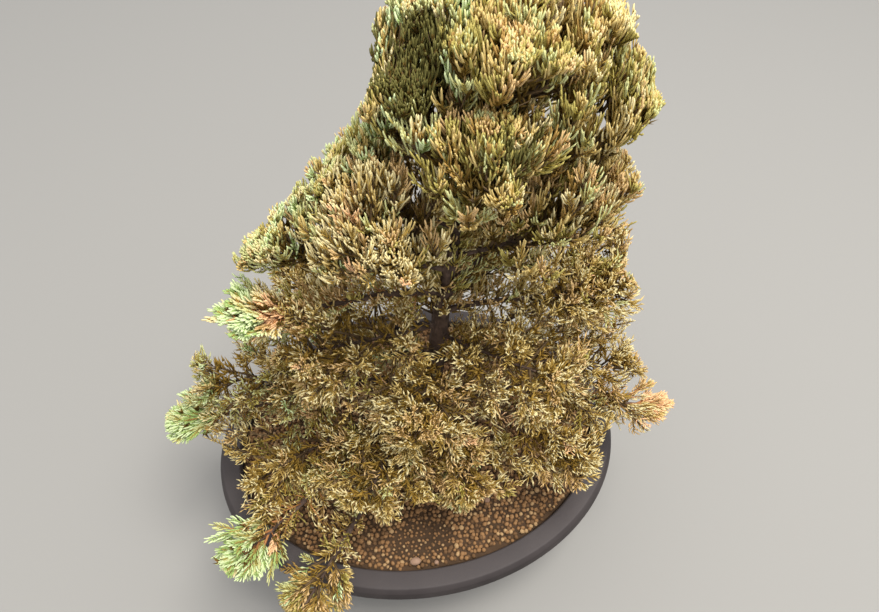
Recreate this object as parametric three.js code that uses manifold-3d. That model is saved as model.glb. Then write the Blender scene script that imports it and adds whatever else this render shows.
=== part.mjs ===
// A juniper grown as a small tree in a wide, shallow, oval training pot of matte plastic.
// Millimetres, +Z up. The origin is the middle of the pot's flat underside, and +X runs along the pot.
// The tree stands a little turned in its pot, so its trunk, boughs and foliage are in a group of their own.
import * as THREE from 'three';
import { mergeVertices } from 'three/addons/utils/BufferGeometryUtils.js';
import Module from 'manifold-3d';

const wasm = await Module();
wasm.setup();

// Clearances.
const GAP = 0.3; // between a solid and the neighbour that carries it
const TWIG_CLEARANCE = 1.2; // between a twig or spray and a limb that passes it
const SPACE_MARGIN = 0.5; // from the wall between the spaces of two masses
const SOIL_CLEARANCE = 1; // between the soil and the pot's wall, from which it has shrunk

// The pot. A half width is worked out from its half length, because the rim is the same all round.
const POT_HEIGHT = 115;
const RIM_HALF_LENGTH = 200; // at the crease on top of the lip
const OVAL_DIFFERENCE = 41; // half length less half width
const FOOT_HALF_LENGTH = 150;
const FOOT_CHAMFER = 4;
const LIP_WIDTH = 16;
const LIP_BAND = 19; // height of the lip's outer face
const LIP_SWELL = 5; // how far the lip swells past its crease
const LIP_OVERHANG = 12; // how far the crease stands past the wall's top
const WALL = 6;
const POT_FLOOR = 7;
const POT_SIDES = 36;
const LIP_FULLEST = 0.7; // where the lip stands out most, as a share of its band below the crease
const LIP_SHOULDER = 0.3; // and where it has rounded off to LIP_SHOULDER_SWELL of its swell
const LIP_SHOULDER_SWELL = 0.7;
const LIP_DISH = 1; // drop of the lip's top towards the inside
const LIP_INNER_BAND = 6;

// The soil, a mound with a level patch in the middle, where the trunk stands. Round the patch its
// coarse grains leave it uneven.
const SOIL_EDGE = 106;
const SOIL_TOP = 120;
const LEVEL_PATCH = 65;
const SLOPE_FOOT = 0.86; // where the mound's slope ends, as a share of the half length inside
const SLOPE_HEAD = 0.6; // and where it starts
const SLOPE_STEP = 4; // rise outside the one and inside the other
const CLOD_RELIEF = 2; // how far a place may stand above or below the mound
const CLOD_COLUMNS = 15; // such places along the pot, and CLOD_ROWS across it, about 26 mm apart
const CLOD_ROWS = 12;
const SOIL_SEED = 5;

// The trunk leans to the right from a level foot, and its tip is deep in the top of the crown.
const TREE_TURN = THREE.MathUtils.degToRad(-10);
const TRUNK_FOOT = new THREE.Vector3(12, 0, SOIL_TOP + GAP);
const TRUNK_RISE = new THREE.Vector3(12, 0, 230); // the foot heads for this point
const TRUNK_LEAN = new THREE.Vector3(38, 6, 430); // and the tip comes from this one
const TRUNK_TIP = new THREE.Vector3(54, 10, 572);
const TRUNK_PATH = new THREE.CubicBezierCurve3(TRUNK_FOOT, TRUNK_RISE, TRUNK_LEAN, TRUNK_TIP);
const TRUNK_SIDES = 8;
const TRUNK_STEPS = 11;
const TRUNK_TIP_RADIUS = 1.5;
const TRUNK_SWELL = 10.5; // what the foot's radius has over the tip's
const TRUNK_TAPER = 1.5;
const FLARE = 5;
const FLARE_HEIGHT = 0.03; // as a share of the trunk

// Limbs. One that is longer than SHORT_LIMB is a bough, and a shorter one is the foot of its mass's stem.
const SHORT_LIMB = 52;
const LIMB_SIDES = 5;
const LIMB_STEPS = 3;
const SHORT_LIMB_STEPS = 2;
const LIMB_TIP_RADIUS = 1.8;
const LIMB_STOUTNESS = 0.015; // radius gained for each millimetre of length
const LIMB_ARCH = 0.1; // rise of the middle as a share of the length
const LIMB_BEADS = 10; // round beads that stand for a limb where clearances are worked out
const TRUNK_BEADS = 60;

// Foliage. Each mass has a stem, twigs round it in a spiral, and sprays on the twigs.
const GOLDEN_ANGLE = Math.PI * (3 - Math.sqrt(5));
const FIRST_SEED = 101;
const SEED_STEP = 37;
const LIFT_TURN = 0.5; // how much of a mass's lift turns its stem and twigs
const STEM_SHARE = 0.72; // how far past its middle the stem crosses a mass
const STEM_SIDES = 4;
const STEM_STEPS = 2;
const STEM_TIP_RADIUS = 0.8;
const TWIG_PITCH = THREE.MathUtils.degToRad(62); // from the stem's own direction
const TWIG_OFFSET = 0.4; // where a twig leaves its share of the stem, and how much that may vary
const TWIG_SHARE = 0.5; // how much of the way to the edge of the mass a twig takes
const TWIG_CHECK = 0.7; // the place along a twig where its clearance is tested, besides its end
const TWIG_ROOT_RADIUS = 1.3;
const TWIG_TIP_RADIUS = 0.6;
const TWIG_SIDES = 3;
const SPRAY_SINK = 8; // how deep the root of a spray is sunk in its twig
const SPRAY_THICKNESS = 0.12; // of its length
const SPRAY_LONGEST = 62;
const SPRAY_SHORTEST = 9;
const SPRAY_FIT = 0.98; // share of the way to the edge that a spray tries first
const SPRAY_SHRINK = 0.9; // from one try to the next
const SIDE_SPRAY_TURN = THREE.MathUtils.degToRad(46);
const SIDE_SPRAY_SHARE = 0.4; // how far up its twig a side spray stands
const SIDE_SPRAY_LIFT = 1 / 3;
const CORE_SMALLEST = 0.56; // share of the way to the open edge that the core of a dense mass takes
const CORE_LARGEST = 0.82;
const CORE_AT_WALL = 0.96; // and of the way to a neighbour
const LOWEST_LEAF = POT_HEIGHT + 1;
const NEARBY = 1.2; // how near a limb comes to a mass, in the mass's half sizes, to be cut from it

// Numerical limits.
const MERGE_DISTANCE = 1e-5;
const HALVINGS = 30;

// A spray's outline: four fingers and the notches between them, as angle in degrees and share of the length.
const SPRAY_OUTLINE = [
  [0, 0],
  [-33, 0.82],
  [-19, 0.52],
  [-8, 1],
  [2, 0.6],
  [11, 0.95],
  [20, 0.5],
  [36, 0.78],
];
const SPRAY_MIDDLE = 0.34;

// The masses: middle, half sizes, height at which the limb leaves the trunk, how much the twigs turn
// up (or down, below nought), number of twigs, and whether the mass is dense.
const MASSES = [
  ['top', [47, 4, 550], [36, 35, 34], 524, 0.9, 5, true],
  ['upper_left', [19, 3, 530], [36, 36, 41], 488, 0.9, 5, true],
  ['upper_front', [56, -34, 525], [43, 38, 42], 466, 0.7, 5, true],
  ['upper_right', [97, 6, 521], [40, 41, 41], 478, 0.8, 5, true],
  ['upper_back', [63, 49, 520], [50, 41, 47], 460, 0.7, 5, true],
  ['right_shoulder', [118, -7, 479], [41, 44, 42], 424, 0.6, 5, true],
  ['front_collar', [47, -56, 482], [43, 38, 32], 414, 0.5, 5, true],
  ['left_shoulder', [8, -20, 494], [43, 42, 46], 440, 0.7, 5, true],
  ['left_high', [-34, -10, 441], [44, 46, 41], 396, 0.6, 5, true],
  ['left_middle', [-77, -18, 394], [47, 47, 40], 354, 0.5, 5, true],
  ['left_long_shoot', [-96, -49, 364], [52, 26, 16], 330, 0.1, 3, false],
  ['left_inner', [-8, -45, 420], [46, 41, 48], 378, 0.4, 5, true],
  ['right_middle', [94, -12, 408], [46, 47, 52], 366, 0.4, 5, true],
  ['right_brown_tuft', [135, 4, 328], [47, 42, 35], 306, 0.3, 5, true],
  ['back_middle', [70, 68, 447], [55, 53, 48], 404, 0.5, 4, true],
  ['back_left', [-9, 53, 396], [55, 52, 58], 346, 0.5, 4, true],
  ['back_right', [125, 61, 368], [52, 54, 56], 338, 0.5, 4, true],
  ['back_inner', [56, 56, 318], [56, 52, 46], 296, 0.3, 3, true],
  ['front_middle_left', [-48, -30, 304], [62, 58, 55], 288, 0.2, 5, true],
  ['front_middle', [10, -52, 264], [53, 49, 42], 266, 0, 5, true],
  ['front_middle_right', [78, -34, 286], [56, 58, 54], 276, 0.1, 5, true],
  ['front_lower_left', [-25, -82, 206], [50, 50, 36], 240, -0.2, 5, true],
  ['front_lower', [39, -75, 204], [46, 46, 43], 230, -0.3, 5, true],
  ['front_lower_right', [116, -54, 196], [52, 52, 36], 218, -0.2, 5, true],
  ['right_lower', [146, 3, 228], [59, 58, 52], 256, 0.1, 5, true],
  ['orange_shoot', [199, -19, 196], [39, 29, 19], 196, 0.1, 3, false],
  ['left_lower', [-125, -13, 236], [68, 65, 58], 254, 0, 5, true],
  ['left_green_tip', [-192, -34, 196], [38, 29, 23], 214, 0.1, 3, false],
  ['front_left_low', [-96, -61, 186], [65, 58, 50], 200, -0.2, 5, true],
  ['green_shoot', [-135, -138, 164], [46, 32, 26], 178, 0, 3, false],
  ['hanging_front', [-81, -167, 150], [32, 29, 38], 164, -0.2, 4, false],
  ['back_lower_left', [-82, 69, 238], [72, 67, 65], 238, 0, 4, true],
  ['back_lower', [13, 102, 252], [72, 62, 60], 246, 0, 4, true],
  ['back_lower_right', [125, 77, 236], [70, 65, 55], 226, 0, 4, true],
].map(([name, middle, halfSizes, from, lift, twigs, dense], index) => ({
  name,
  middle: new THREE.Vector3(...middle),
  halfSizes: new THREE.Vector3(...halfSizes),
  from,
  lift,
  twigs,
  dense,
  seed: FIRST_SEED + SEED_STEP * index,
}));

const UP = new THREE.Vector3(0, 0, 1);

// The same numbers come each time from the same seed.
function seeded(seed) {
  let state = seed;
  return () => {
    state = (Math.imul(state, 1664525) + 1013904223) >>> 0;
    return state / 4294967296;
  };
}

// Two directions square to the given one, and to each other.
function squareTo(direction) {
  const reference = Math.abs(direction.z) > 0.9 ? new THREE.Vector3(1, 0, 0) : UP;
  const side = new THREE.Vector3().crossVectors(direction, reference).normalize();
  const other = new THREE.Vector3().crossVectors(side, direction).normalize();
  return [side, other];
}

// Leaves only positions, each point once, and no face without area.
function closedGeometry(geometry) {
  const bare = geometry.clone();
  bare.deleteAttribute('normal');
  bare.deleteAttribute('uv');
  const merged = mergeVertices(bare, MERGE_DISTANCE);
  const corners = merged.getIndex().array;
  const kept = [];
  for (let i = 0; i < corners.length; i += 3) {
    const [a, b, c] = corners.slice(i, i + 3);
    if (a !== b && b !== c && c !== a) {
      kept.push(a, b, c);
    }
  }
  merged.setIndex(kept);
  return merged;
}

function toSolid(geometry) {
  const closed = closedGeometry(geometry);
  return new wasm.Manifold(new wasm.Mesh({
    numProp: 3,
    vertProperties: new Float32Array(closed.getAttribute('position').array),
    triVerts: new Uint32Array(closed.getIndex().array),
  }));
}

// The largest piece alone: this drops loose scraps, and fills a hollow that joining has sealed.
function largestPiece(solid) {
  return solid.decompose().reduce((best, piece) => (piece.volume() > best.volume() ? piece : best));
}

function toGeometry(solid) {
  const mesh = solid.getMesh();
  const geometry = new THREE.BufferGeometry();
  geometry.setAttribute('position', new THREE.BufferAttribute(mesh.vertProperties, 3));
  geometry.setIndex(new THREE.BufferAttribute(mesh.triVerts, 1));
  geometry.computeVertexNormals();
  return geometry;
}

// Moves every point of a geometry by a rule.
function reshape(geometry, rule) {
  const positions = geometry.getAttribute('position');
  const point = new THREE.Vector3();
  for (let i = 0; i < positions.count; i += 1) {
    point.fromBufferAttribute(positions, i);
    rule(point);
    positions.setXYZ(i, point.x, point.y, point.z);
  }
  return geometry;
}

// The half width that goes with a half length. Inside the foot's ring the two stay in proportion.
function halfWidth(halfLength) {
  const inner = FOOT_HALF_LENGTH - 3 * WALL;
  if (halfLength > inner) {
    return halfLength - OVAL_DIFFERENCE;
  }
  return halfLength * (1 - OVAL_DIFFERENCE / inner);
}

// A closed oval form from its outline along the pot's length: half length and height of each ring.
function ovalForm(outline) {
  const points = outline.map(([halfLength, height]) => new THREE.Vector2(halfLength, height));
  const geometry = new THREE.LatheGeometry(points, POT_SIDES).rotateX(Math.PI / 2);
  return closedGeometry(reshape(geometry, (point) => {
    const ring = Math.hypot(point.x, point.y);
    point.y *= ring > 0 ? halfWidth(ring) / ring : 1;
  }));
}

const WALL_TOP = POT_HEIGHT - LIP_BAND - 2;
const INNER_WALL_TOP = RIM_HALF_LENGTH - LIP_OVERHANG - WALL;
const INNER_CORNER = FOOT_HALF_LENGTH - WALL;

function potForm() {
  return ovalForm([
    [0, 0],
    [FOOT_HALF_LENGTH - FOOT_CHAMFER, 0],
    [FOOT_HALF_LENGTH, FOOT_CHAMFER],
    [RIM_HALF_LENGTH - LIP_OVERHANG, WALL_TOP],
    [RIM_HALF_LENGTH + LIP_SWELL / 2, POT_HEIGHT - LIP_BAND],
    [RIM_HALF_LENGTH + LIP_SWELL, POT_HEIGHT - LIP_FULLEST * LIP_BAND],
    [RIM_HALF_LENGTH + LIP_SHOULDER_SWELL * LIP_SWELL, POT_HEIGHT - LIP_SHOULDER * LIP_BAND],
    [RIM_HALF_LENGTH, POT_HEIGHT],
    [RIM_HALF_LENGTH - LIP_WIDTH, POT_HEIGHT - LIP_DISH],
    [INNER_WALL_TOP, POT_HEIGHT - LIP_INNER_BAND],
    [INNER_WALL_TOP, WALL_TOP],
    [INNER_CORNER, POT_FLOOR + WALL],
    [INNER_CORNER - WALL, POT_FLOOR],
    [0, POT_FLOOR],
  ]);
}

// The mound's height over a ring of the given half length.
function moundHeight(ring) {
  const slope = [
    [LEVEL_PATCH, SOIL_TOP],
    [SLOPE_HEAD * INNER_WALL_TOP, SOIL_TOP - SLOPE_STEP],
    [SLOPE_FOOT * INNER_WALL_TOP, SOIL_EDGE + SLOPE_STEP],
    [INNER_WALL_TOP, SOIL_EDGE],
  ];
  const outer = slope.findIndex(([halfLength]) => halfLength >= ring);
  if (outer === 0) {
    return SOIL_TOP;
  }
  if (outer < 0) {
    return SOIL_EDGE;
  }
  const [from, to] = [slope[outer - 1], slope[outer]];
  return THREE.MathUtils.mapLinear(ring, from[0], to[0], from[1], to[1]);
}

// What fills the pot, up to a level above the mound.
function soilBody() {
  return ovalForm([
    [0, POT_FLOOR + GAP],
    [INNER_CORNER - WALL - SOIL_CLEARANCE, POT_FLOOR + GAP],
    [INNER_WALL_TOP - SOIL_CLEARANCE, WALL_TOP],
    [INNER_WALL_TOP - SOIL_CLEARANCE, 2 * SOIL_TOP],
    [0, 2 * SOIL_TOP],
  ]);
}

// A block wider than the pot, from the ground up to the uneven mound.
function moundBlock() {
  const random = seeded(SOIL_SEED);
  const block = new THREE.BoxGeometry(
    2 * RIM_HALF_LENGTH,
    2 * RIM_HALF_LENGTH,
    1,
    CLOD_COLUMNS,
    CLOD_ROWS,
  );
  return reshape(closedGeometry(block), (point) => {
    const ring = Math.hypot(point.x, point.y);
    const relief = ring > LEVEL_PATCH ? CLOD_RELIEF * (2 * random() - 1) : 0;
    point.y *= ring > 0 ? halfWidth(ring) / ring : 1;
    point.z = point.z > 0 ? moundHeight(ring) + relief : 0;
  });
}

function soilForm() {
  return toGeometry(toSolid(soilBody()).intersect(toSolid(moundBlock())));
}

// A limb along a path, round in section, made by bending a straight cylinder whose height runs from 0 to 1.
function limbGeometry(path, radiusAt, sides, steps) {
  const geometry = new THREE.CylinderGeometry(1, 1, 1, sides, steps).translate(0, 0.5, 0);
  const frames = path.computeFrenetFrames(steps, false);
  return reshape(geometry, (point) => {
    const step = Math.round(point.y * steps);
    const along = step / steps;
    const radius = radiusAt(along);
    const { x, z } = point;
    point.copy(path.getPointAt(along));
    point.addScaledVector(frames.binormals[step], x * radius);
    point.addScaledVector(frames.normals[step], z * radius);
  });
}

function trunkRadius(along) {
  const flare = FLARE * Math.exp(-along / FLARE_HEIGHT);
  return TRUNK_TIP_RADIUS + TRUNK_SWELL * (1 - along) ** TRUNK_TAPER + flare;
}

// The share of the trunk's length at a height, by halving.
function trunkShare(height) {
  let low = 0;
  let high = 1;
  for (let i = 0; i < HALVINGS; i += 1) {
    const middle = (low + high) / 2;
    if (TRUNK_PATH.getPointAt(middle).z < height) {
      low = middle;
    } else {
      high = middle;
    }
  }
  return low;
}

// The wall between two masses is square to the line of their middles, halfway through their overlap.
function wallBetween(mass, other) {
  const across = new THREE.Vector3().subVectors(other.middle, mass.middle);
  const distance = across.length();
  across.normalize();
  const own = 1 / across.clone().divide(mass.halfSizes).length();
  const theirs = 1 / across.clone().divide(other.halfSizes).length();
  const place = own + (distance - own - theirs) / 2;
  return { normal: across, offset: across.dot(mass.middle) + place - SPACE_MARGIN };
}

// The space of a mass: its ellipsoid inside the walls towards the other masses and above the pot's rim.
function spaceOf(mass) {
  const walls = MASSES.filter((other) => other !== mass).map((other) => wallBetween(mass, other));
  walls.push({ normal: UP.clone().negate(), offset: -LOWEST_LEAF });
  const { middle, halfSizes } = mass;
  return {
    contains(point) {
      const round = point.clone().sub(middle).divide(halfSizes).length() <= 1;
      return round && walls.every(({ normal, offset }) => normal.dot(point) <= offset);
    },
    // How far it is from a point inside to the ellipsoid.
    openReach(point, direction) {
      const from = point.clone().sub(middle).divide(halfSizes);
      const along = direction.clone().divide(halfSizes);
      const a = along.lengthSq();
      const b = from.dot(along);
      const c = from.lengthSq() - 1;
      return (-b + Math.sqrt(Math.max(0, b * b - a * c))) / a;
    },
    // How far it is to the edge of the space, where a wall may come first.
    reach(point, direction) {
      let nearest = this.openReach(point, direction);
      walls.forEach(({ normal, offset }) => {
        const closing = normal.dot(direction);
        if (closing > 0) {
          nearest = Math.min(nearest, (offset - normal.dot(point)) / closing);
        }
      });
      return Math.max(0, nearest);
    },
  };
}

// The limb from the trunk's axis to the edge of its mass, and the stem that goes on from there.
function layLimb(mass) {
  const root = TRUNK_PATH.getPointAt(trunkShare(mass.from));
  const outward = mass.middle.clone().sub(root).normalize();
  const inward = outward.clone().negate();
  const entry = mass.middle.clone().addScaledVector(inward, mass.space.reach(mass.middle, inward));
  const length = entry.distanceTo(root);
  const arch = root.clone().lerp(entry, 0.5).addScaledVector(UP, LIMB_ARCH * length);
  const onward = outward.clone().addScaledVector(UP, LIFT_TURN * mass.lift).normalize();
  const end = mass.middle.clone().addScaledVector(
    onward,
    STEM_SHARE * mass.space.reach(mass.middle, onward),
  );
  mass.limb = new THREE.QuadraticBezierCurve3(root, arch, entry);
  mass.limbLength = length;
  mass.isBough = length > SHORT_LIMB;
  const start = entry.clone();
  if (mass.isBough) {
    start.addScaledVector(mass.limb.getTangentAt(1), GAP);
  }
  mass.stem = new THREE.QuadraticBezierCurve3(start, mass.middle.clone(), end);
}

MASSES.forEach((mass) => {
  mass.space = spaceOf(mass);
  layLimb(mass);
});

function limbRadius(mass, along) {
  return LIMB_TIP_RADIUS + LIMB_STOUTNESS * mass.limbLength * (1 - along);
}

// Round beads along every limb, for telling how near a twig comes to it.
const BEADS = [];
MASSES.forEach((mass) => {
  for (let i = 1; i <= LIMB_BEADS; i += 1) {
    const along = i / LIMB_BEADS;
    BEADS.push({ mass, point: mass.limb.getPointAt(along), radius: limbRadius(mass, along) });
  }
});
for (let i = 0; i <= TRUNK_BEADS; i += 1) {
  const along = i / TRUNK_BEADS;
  BEADS.push({ mass: null, point: TRUNK_PATH.getPointAt(along), radius: trunkRadius(along) });
}

function touchesLimb(mass, points) {
  return BEADS.some((bead) => {
    if (bead.mass === mass && !mass.isBough) {
      return false;
    }
    return points.some((point) => point.distanceTo(bead.point) < bead.radius + TWIG_CLEARANCE);
  });
}

// The twigs of a mass: they leave the stem in a spiral by the golden angle and turn towards the light.
function growTwigs(mass) {
  const random = seeded(mass.seed);
  const twigs = [];
  for (let k = 0; k < mass.twigs; k += 1) {
    const along = (k + TWIG_OFFSET + TWIG_OFFSET * random()) / mass.twigs;
    const root = mass.stem.getPointAt(along);
    const ahead = mass.stem.getTangentAt(along);
    const [side, other] = squareTo(ahead);
    const turn = k * GOLDEN_ANGLE + random();
    const direction = ahead.multiplyScalar(Math.cos(TWIG_PITCH))
      .addScaledVector(side, Math.sin(TWIG_PITCH) * Math.cos(turn))
      .addScaledVector(other, Math.sin(TWIG_PITCH) * Math.sin(turn))
      .addScaledVector(UP, LIFT_TURN * mass.lift)
      .normalize();
    const reach = mass.space.reach(root, direction);
    twigs.push({ root, direction, reach, roll: 2 * Math.PI * random() });
  }
  const tip = mass.stem.getPointAt(1);
  const onward = mass.stem.getTangentAt(1);
  twigs.push({ root: tip, direction: onward, reach: mass.space.reach(tip, onward), roll: 0 });
  return twigs;
}

function twigGeometry(root, direction, length) {
  const path = new THREE.LineCurve3(root, root.clone().addScaledVector(direction, length));
  const radiusAt = (along) => THREE.MathUtils.lerp(TWIG_ROOT_RADIUS, TWIG_TIP_RADIUS, along);
  return limbGeometry(path, radiusAt, TWIG_SIDES, 1);
}

// The points of a spray's outline, root first, for a root, a direction and the side that it spreads to.
function sprayOutline(root, direction, side, length) {
  return SPRAY_OUTLINE.map(([degrees, share]) => {
    const angle = THREE.MathUtils.degToRad(degrees);
    return root.clone()
      .addScaledVector(direction, share * length * Math.cos(angle))
      .addScaledVector(side, share * length * Math.sin(angle));
  });
}

// A spray is a toothed blade: a sphere of eight sides and two bands, its equator drawn out to the fingers.
function sprayGeometry(outline, direction, side, length) {
  const middle = outline[0].clone().addScaledVector(direction, SPRAY_MIDDLE * length);
  const normal = new THREE.Vector3().crossVectors(direction, side);
  const geometry = new THREE.SphereGeometry(1, outline.length, 2);
  return reshape(geometry, (point) => {
    if (Math.abs(point.y) > 0.5) {
      const face = Math.sign(point.y) * SPRAY_THICKNESS * length / 2;
      point.copy(middle).addScaledVector(normal, face);
      return;
    }
    const turn = Math.round(Math.atan2(point.z, -point.x) / (2 * Math.PI) * outline.length);
    point.copy(outline[(turn + outline.length) % outline.length]);
  });
}

// A spray as long as the space allows, or nothing if it would leave the space or touch a limb.
function growSpray(mass, root, direction, roll) {
  const [side, other] = squareTo(direction);
  const spread = side.multiplyScalar(Math.cos(roll)).addScaledVector(other, Math.sin(roll)).normalize();
  const start = root.clone().addScaledVector(direction, -SPRAY_SINK);
  let length = Math.min(SPRAY_LONGEST, SPRAY_SINK + SPRAY_FIT * mass.space.reach(root, direction));
  while (length > SPRAY_SHORTEST + SPRAY_SINK) {
    const outline = sprayOutline(start, direction, spread, length);
    const halfway = outline.map((point) => point.clone().lerp(start, 0.5));
    if (outline.every(mass.space.contains) && !touchesLimb(mass, [...outline, ...halfway])) {
      return sprayGeometry(outline, direction, spread, length);
    }
    length *= SPRAY_SHRINK;
  }
  return null;
}

// The dense heart of a mass, a lumpy ball that comes close to its neighbours and short of the open edge.
function coreGeometry(mass) {
  const random = seeded(mass.seed + 1);
  const geometry = closedGeometry(new THREE.IcosahedronGeometry(1, 1));
  return reshape(geometry, (point) => {
    const direction = point.clone().normalize();
    const share = THREE.MathUtils.lerp(CORE_SMALLEST, CORE_LARGEST, random());
    const open = share * mass.space.openReach(mass.middle, direction);
    const walled = CORE_AT_WALL * mass.space.reach(mass.middle, direction);
    point.copy(mass.middle).addScaledVector(direction, Math.min(open, walled));
  });
}

// The sprays of a twig: one at its tip, and in a loose mass one to the side lower down.
function twigSprays(mass, { root, direction, reach, roll }) {
  const tip = root.clone().addScaledVector(direction, TWIG_SHARE * reach);
  const endSpray = growSpray(mass, tip, direction, roll);
  if (mass.dense) {
    return [endSpray];
  }
  const fork = root.clone().addScaledVector(direction, SIDE_SPRAY_SHARE * reach);
  const [side, other] = squareTo(direction);
  const aside = side.multiplyScalar(Math.cos(roll)).addScaledVector(other, Math.sin(roll));
  const sideways = direction.clone().multiplyScalar(Math.cos(SIDE_SPRAY_TURN))
    .addScaledVector(aside, Math.sin(SIDE_SPRAY_TURN))
    .addScaledVector(UP, SIDE_SPRAY_LIFT * mass.lift)
    .normalize();
  return [endSpray, growSpray(mass, fork, sideways, roll + 1)];
}

function massSolids(mass) {
  const stemRadius = (along) => THREE.MathUtils.lerp(LIMB_TIP_RADIUS, STEM_TIP_RADIUS, along);
  const solids = [limbGeometry(mass.stem, stemRadius, STEM_SIDES, STEM_STEPS)];
  if (!mass.isBough) {
    const radiusAt = (along) => limbRadius(mass, along);
    solids.push(limbGeometry(mass.limb, radiusAt, LIMB_SIDES, SHORT_LIMB_STEPS));
  }
  if (mass.dense) {
    solids.push(coreGeometry(mass));
  }
  growTwigs(mass).forEach((twig) => {
    const length = TWIG_SHARE * twig.reach;
    const end = twig.root.clone().addScaledVector(twig.direction, length);
    const before = twig.root.clone().lerp(end, TWIG_CHECK);
    if (touchesLimb(mass, [before, end])) {
      return;
    }
    solids.push(twigGeometry(twig.root, twig.direction, length));
    solids.push(...twigSprays(mass, twig).filter((spray) => spray !== null));
  });
  return solids.map(toSolid);
}

// Every other limb that comes through the space of a mass, made thicker by the gap.
function limbsThrough(mass) {
  const near = (bead) => bead.point.clone().sub(mass.middle).divide(mass.halfSizes).length() < NEARBY;
  const others = MASSES.filter((other) => other !== mass && BEADS.some((b) => b.mass === other && near(b)));
  const wide = others.map((other) => limbGeometry(
    other.limb,
    (along) => limbRadius(other, along) + GAP,
    LIMB_SIDES,
    LIMB_STEPS,
  ));
  wide.push(trunkGeometry(GAP));
  return wide.map(toSolid);
}

function trunkGeometry(thicker) {
  return limbGeometry(TRUNK_PATH, (along) => trunkRadius(along) + thicker, TRUNK_SIDES, TRUNK_STEPS);
}

function massGeometry(mass) {
  const whole = wasm.Manifold.union(massSolids(mass));
  const limbs = wasm.Manifold.union(limbsThrough(mass));
  return toGeometry(largestPiece(whole.subtract(limbs)));
}

function boughGeometry(mass) {
  const limb = toSolid(limbGeometry(mass.limb, (along) => limbRadius(mass, along), LIMB_SIDES, LIMB_STEPS));
  return toGeometry(largestPiece(limb.subtract(toSolid(trunkGeometry(GAP)))));
}

const potPlastic = new THREE.MeshStandardMaterial({ color: 0x6f5d57, roughness: 0.75, metalness: 0 });
const soilGrains = new THREE.MeshStandardMaterial({ color: 0x6b5140, roughness: 0.95, metalness: 0 });
const bark = new THREE.MeshStandardMaterial({ color: 0x5c4433, roughness: 0.9, metalness: 0 });
const denseFoliage = new THREE.MeshStandardMaterial({ color: 0x8a7a55, roughness: 0.85, metalness: 0 });
const youngFoliage = new THREE.MeshStandardMaterial({ color: 0x8f9a5a, roughness: 0.8, metalness: 0 });

function named(name, geometry, material) {
  const mesh = new THREE.Mesh(geometry, material);
  mesh.name = name;
  return mesh;
}

const model = new THREE.Group();
model.add(named('pot', potForm(), potPlastic));
model.add(named('soil', soilForm(), soilGrains));

const tree = new THREE.Group();
tree.rotation.z = TREE_TURN;
tree.add(named('trunk', closedGeometry(trunkGeometry(0)), bark));
MASSES.forEach((mass) => {
  if (mass.isBough) {
    tree.add(named(`bough_${mass.name}`, boughGeometry(mass), bark));
  }
  tree.add(named(`foliage_${mass.name}`, massGeometry(mass), mass.dense ? denseFoliage : youngFoliage));
});
model.add(tree);

export default model;
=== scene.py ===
# %% [markdown]
# A juniper is grown here as a small tree in a wide, shallow, oval training pot.
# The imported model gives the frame: plain solids for the pot, the soil, the trunk, the boughs and
# the masses of foliage, in metres, with +Z up and the origin under the middle of the pot. Every
# piece below is made to lie where its solid lies, and takes over from it.

import math

import bmesh
import bpy
import numpy as np
from mathutils import Matrix, Vector, noise
from mathutils.bvhtree import BVHTree


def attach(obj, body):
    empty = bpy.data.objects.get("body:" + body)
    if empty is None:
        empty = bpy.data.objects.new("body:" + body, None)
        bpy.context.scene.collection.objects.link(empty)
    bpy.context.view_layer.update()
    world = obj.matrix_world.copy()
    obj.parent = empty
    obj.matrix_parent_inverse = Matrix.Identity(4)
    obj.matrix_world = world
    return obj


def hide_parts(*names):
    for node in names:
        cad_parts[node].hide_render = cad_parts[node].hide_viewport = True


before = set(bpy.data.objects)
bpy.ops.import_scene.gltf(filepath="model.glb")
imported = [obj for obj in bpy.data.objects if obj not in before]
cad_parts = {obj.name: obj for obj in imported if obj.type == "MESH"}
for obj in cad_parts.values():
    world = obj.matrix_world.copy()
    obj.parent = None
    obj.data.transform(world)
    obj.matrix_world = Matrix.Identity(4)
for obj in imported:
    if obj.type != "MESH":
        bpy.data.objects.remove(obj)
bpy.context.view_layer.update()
MM = 0.001
BODY = "root"

# %% [markdown]
# The viewpoint comes first, because every later choice is judged through it. The photograph looks
# steeply down on the pot with a wide lens, from a little over an arm's length. The tree stands turned
# in its pot, and the camera looks along the tree's own depth, so one angle serves both.

# %% Place the camera
TREE_TURN = math.radians(-10)
CAMERA_PLACE = Vector((-36.5, -333.3, 720.0)) * MM
CAMERA_PITCH = math.radians(50.4)
LENS_MM = 26.66

camera_data = bpy.data.cameras.new("camera")
camera_data.sensor_width = 36
camera_data.lens = LENS_MM
camera_data.clip_start = 0.02
camera = bpy.data.objects.new("camera", camera_data)
camera.location = CAMERA_PLACE
camera.rotation_euler = (math.pi / 2 - CAMERA_PITCH, 0, TREE_TURN)
bpy.context.scene.collection.objects.link(camera)
bpy.context.scene.camera = camera
print("camera stands", round(CAMERA_PLACE.length, 3), "m from the pot's middle")

# %% [markdown]
# Helpers for meshes. A mesh becomes an object in one place, so that each piece gets its shading, its
# material and its body in the same way. Leaves, twigs and grains number tens of thousands, so their
# points are worked out as arrays and laid down as a mesh in one go.

# %% Helpers that finish a piece


def finish_piece(mesh, name, material, replaced):
    mesh.materials.append(material)
    mesh.shade_smooth()
    piece = bpy.data.objects.new(name, mesh)
    bpy.context.scene.collection.objects.link(piece)
    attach(piece, BODY)
    if replaced:
        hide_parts(*replaced)
    mesh.calc_loop_triangles()
    print(name, "has", len(mesh.loop_triangles), "triangles")
    return piece


def piece_from_bmesh(bm, name, material, replaced=()):
    mesh = bpy.data.meshes.new(name)
    bm.to_mesh(mesh)
    bm.free()
    return finish_piece(mesh, name, material, replaced)


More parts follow.
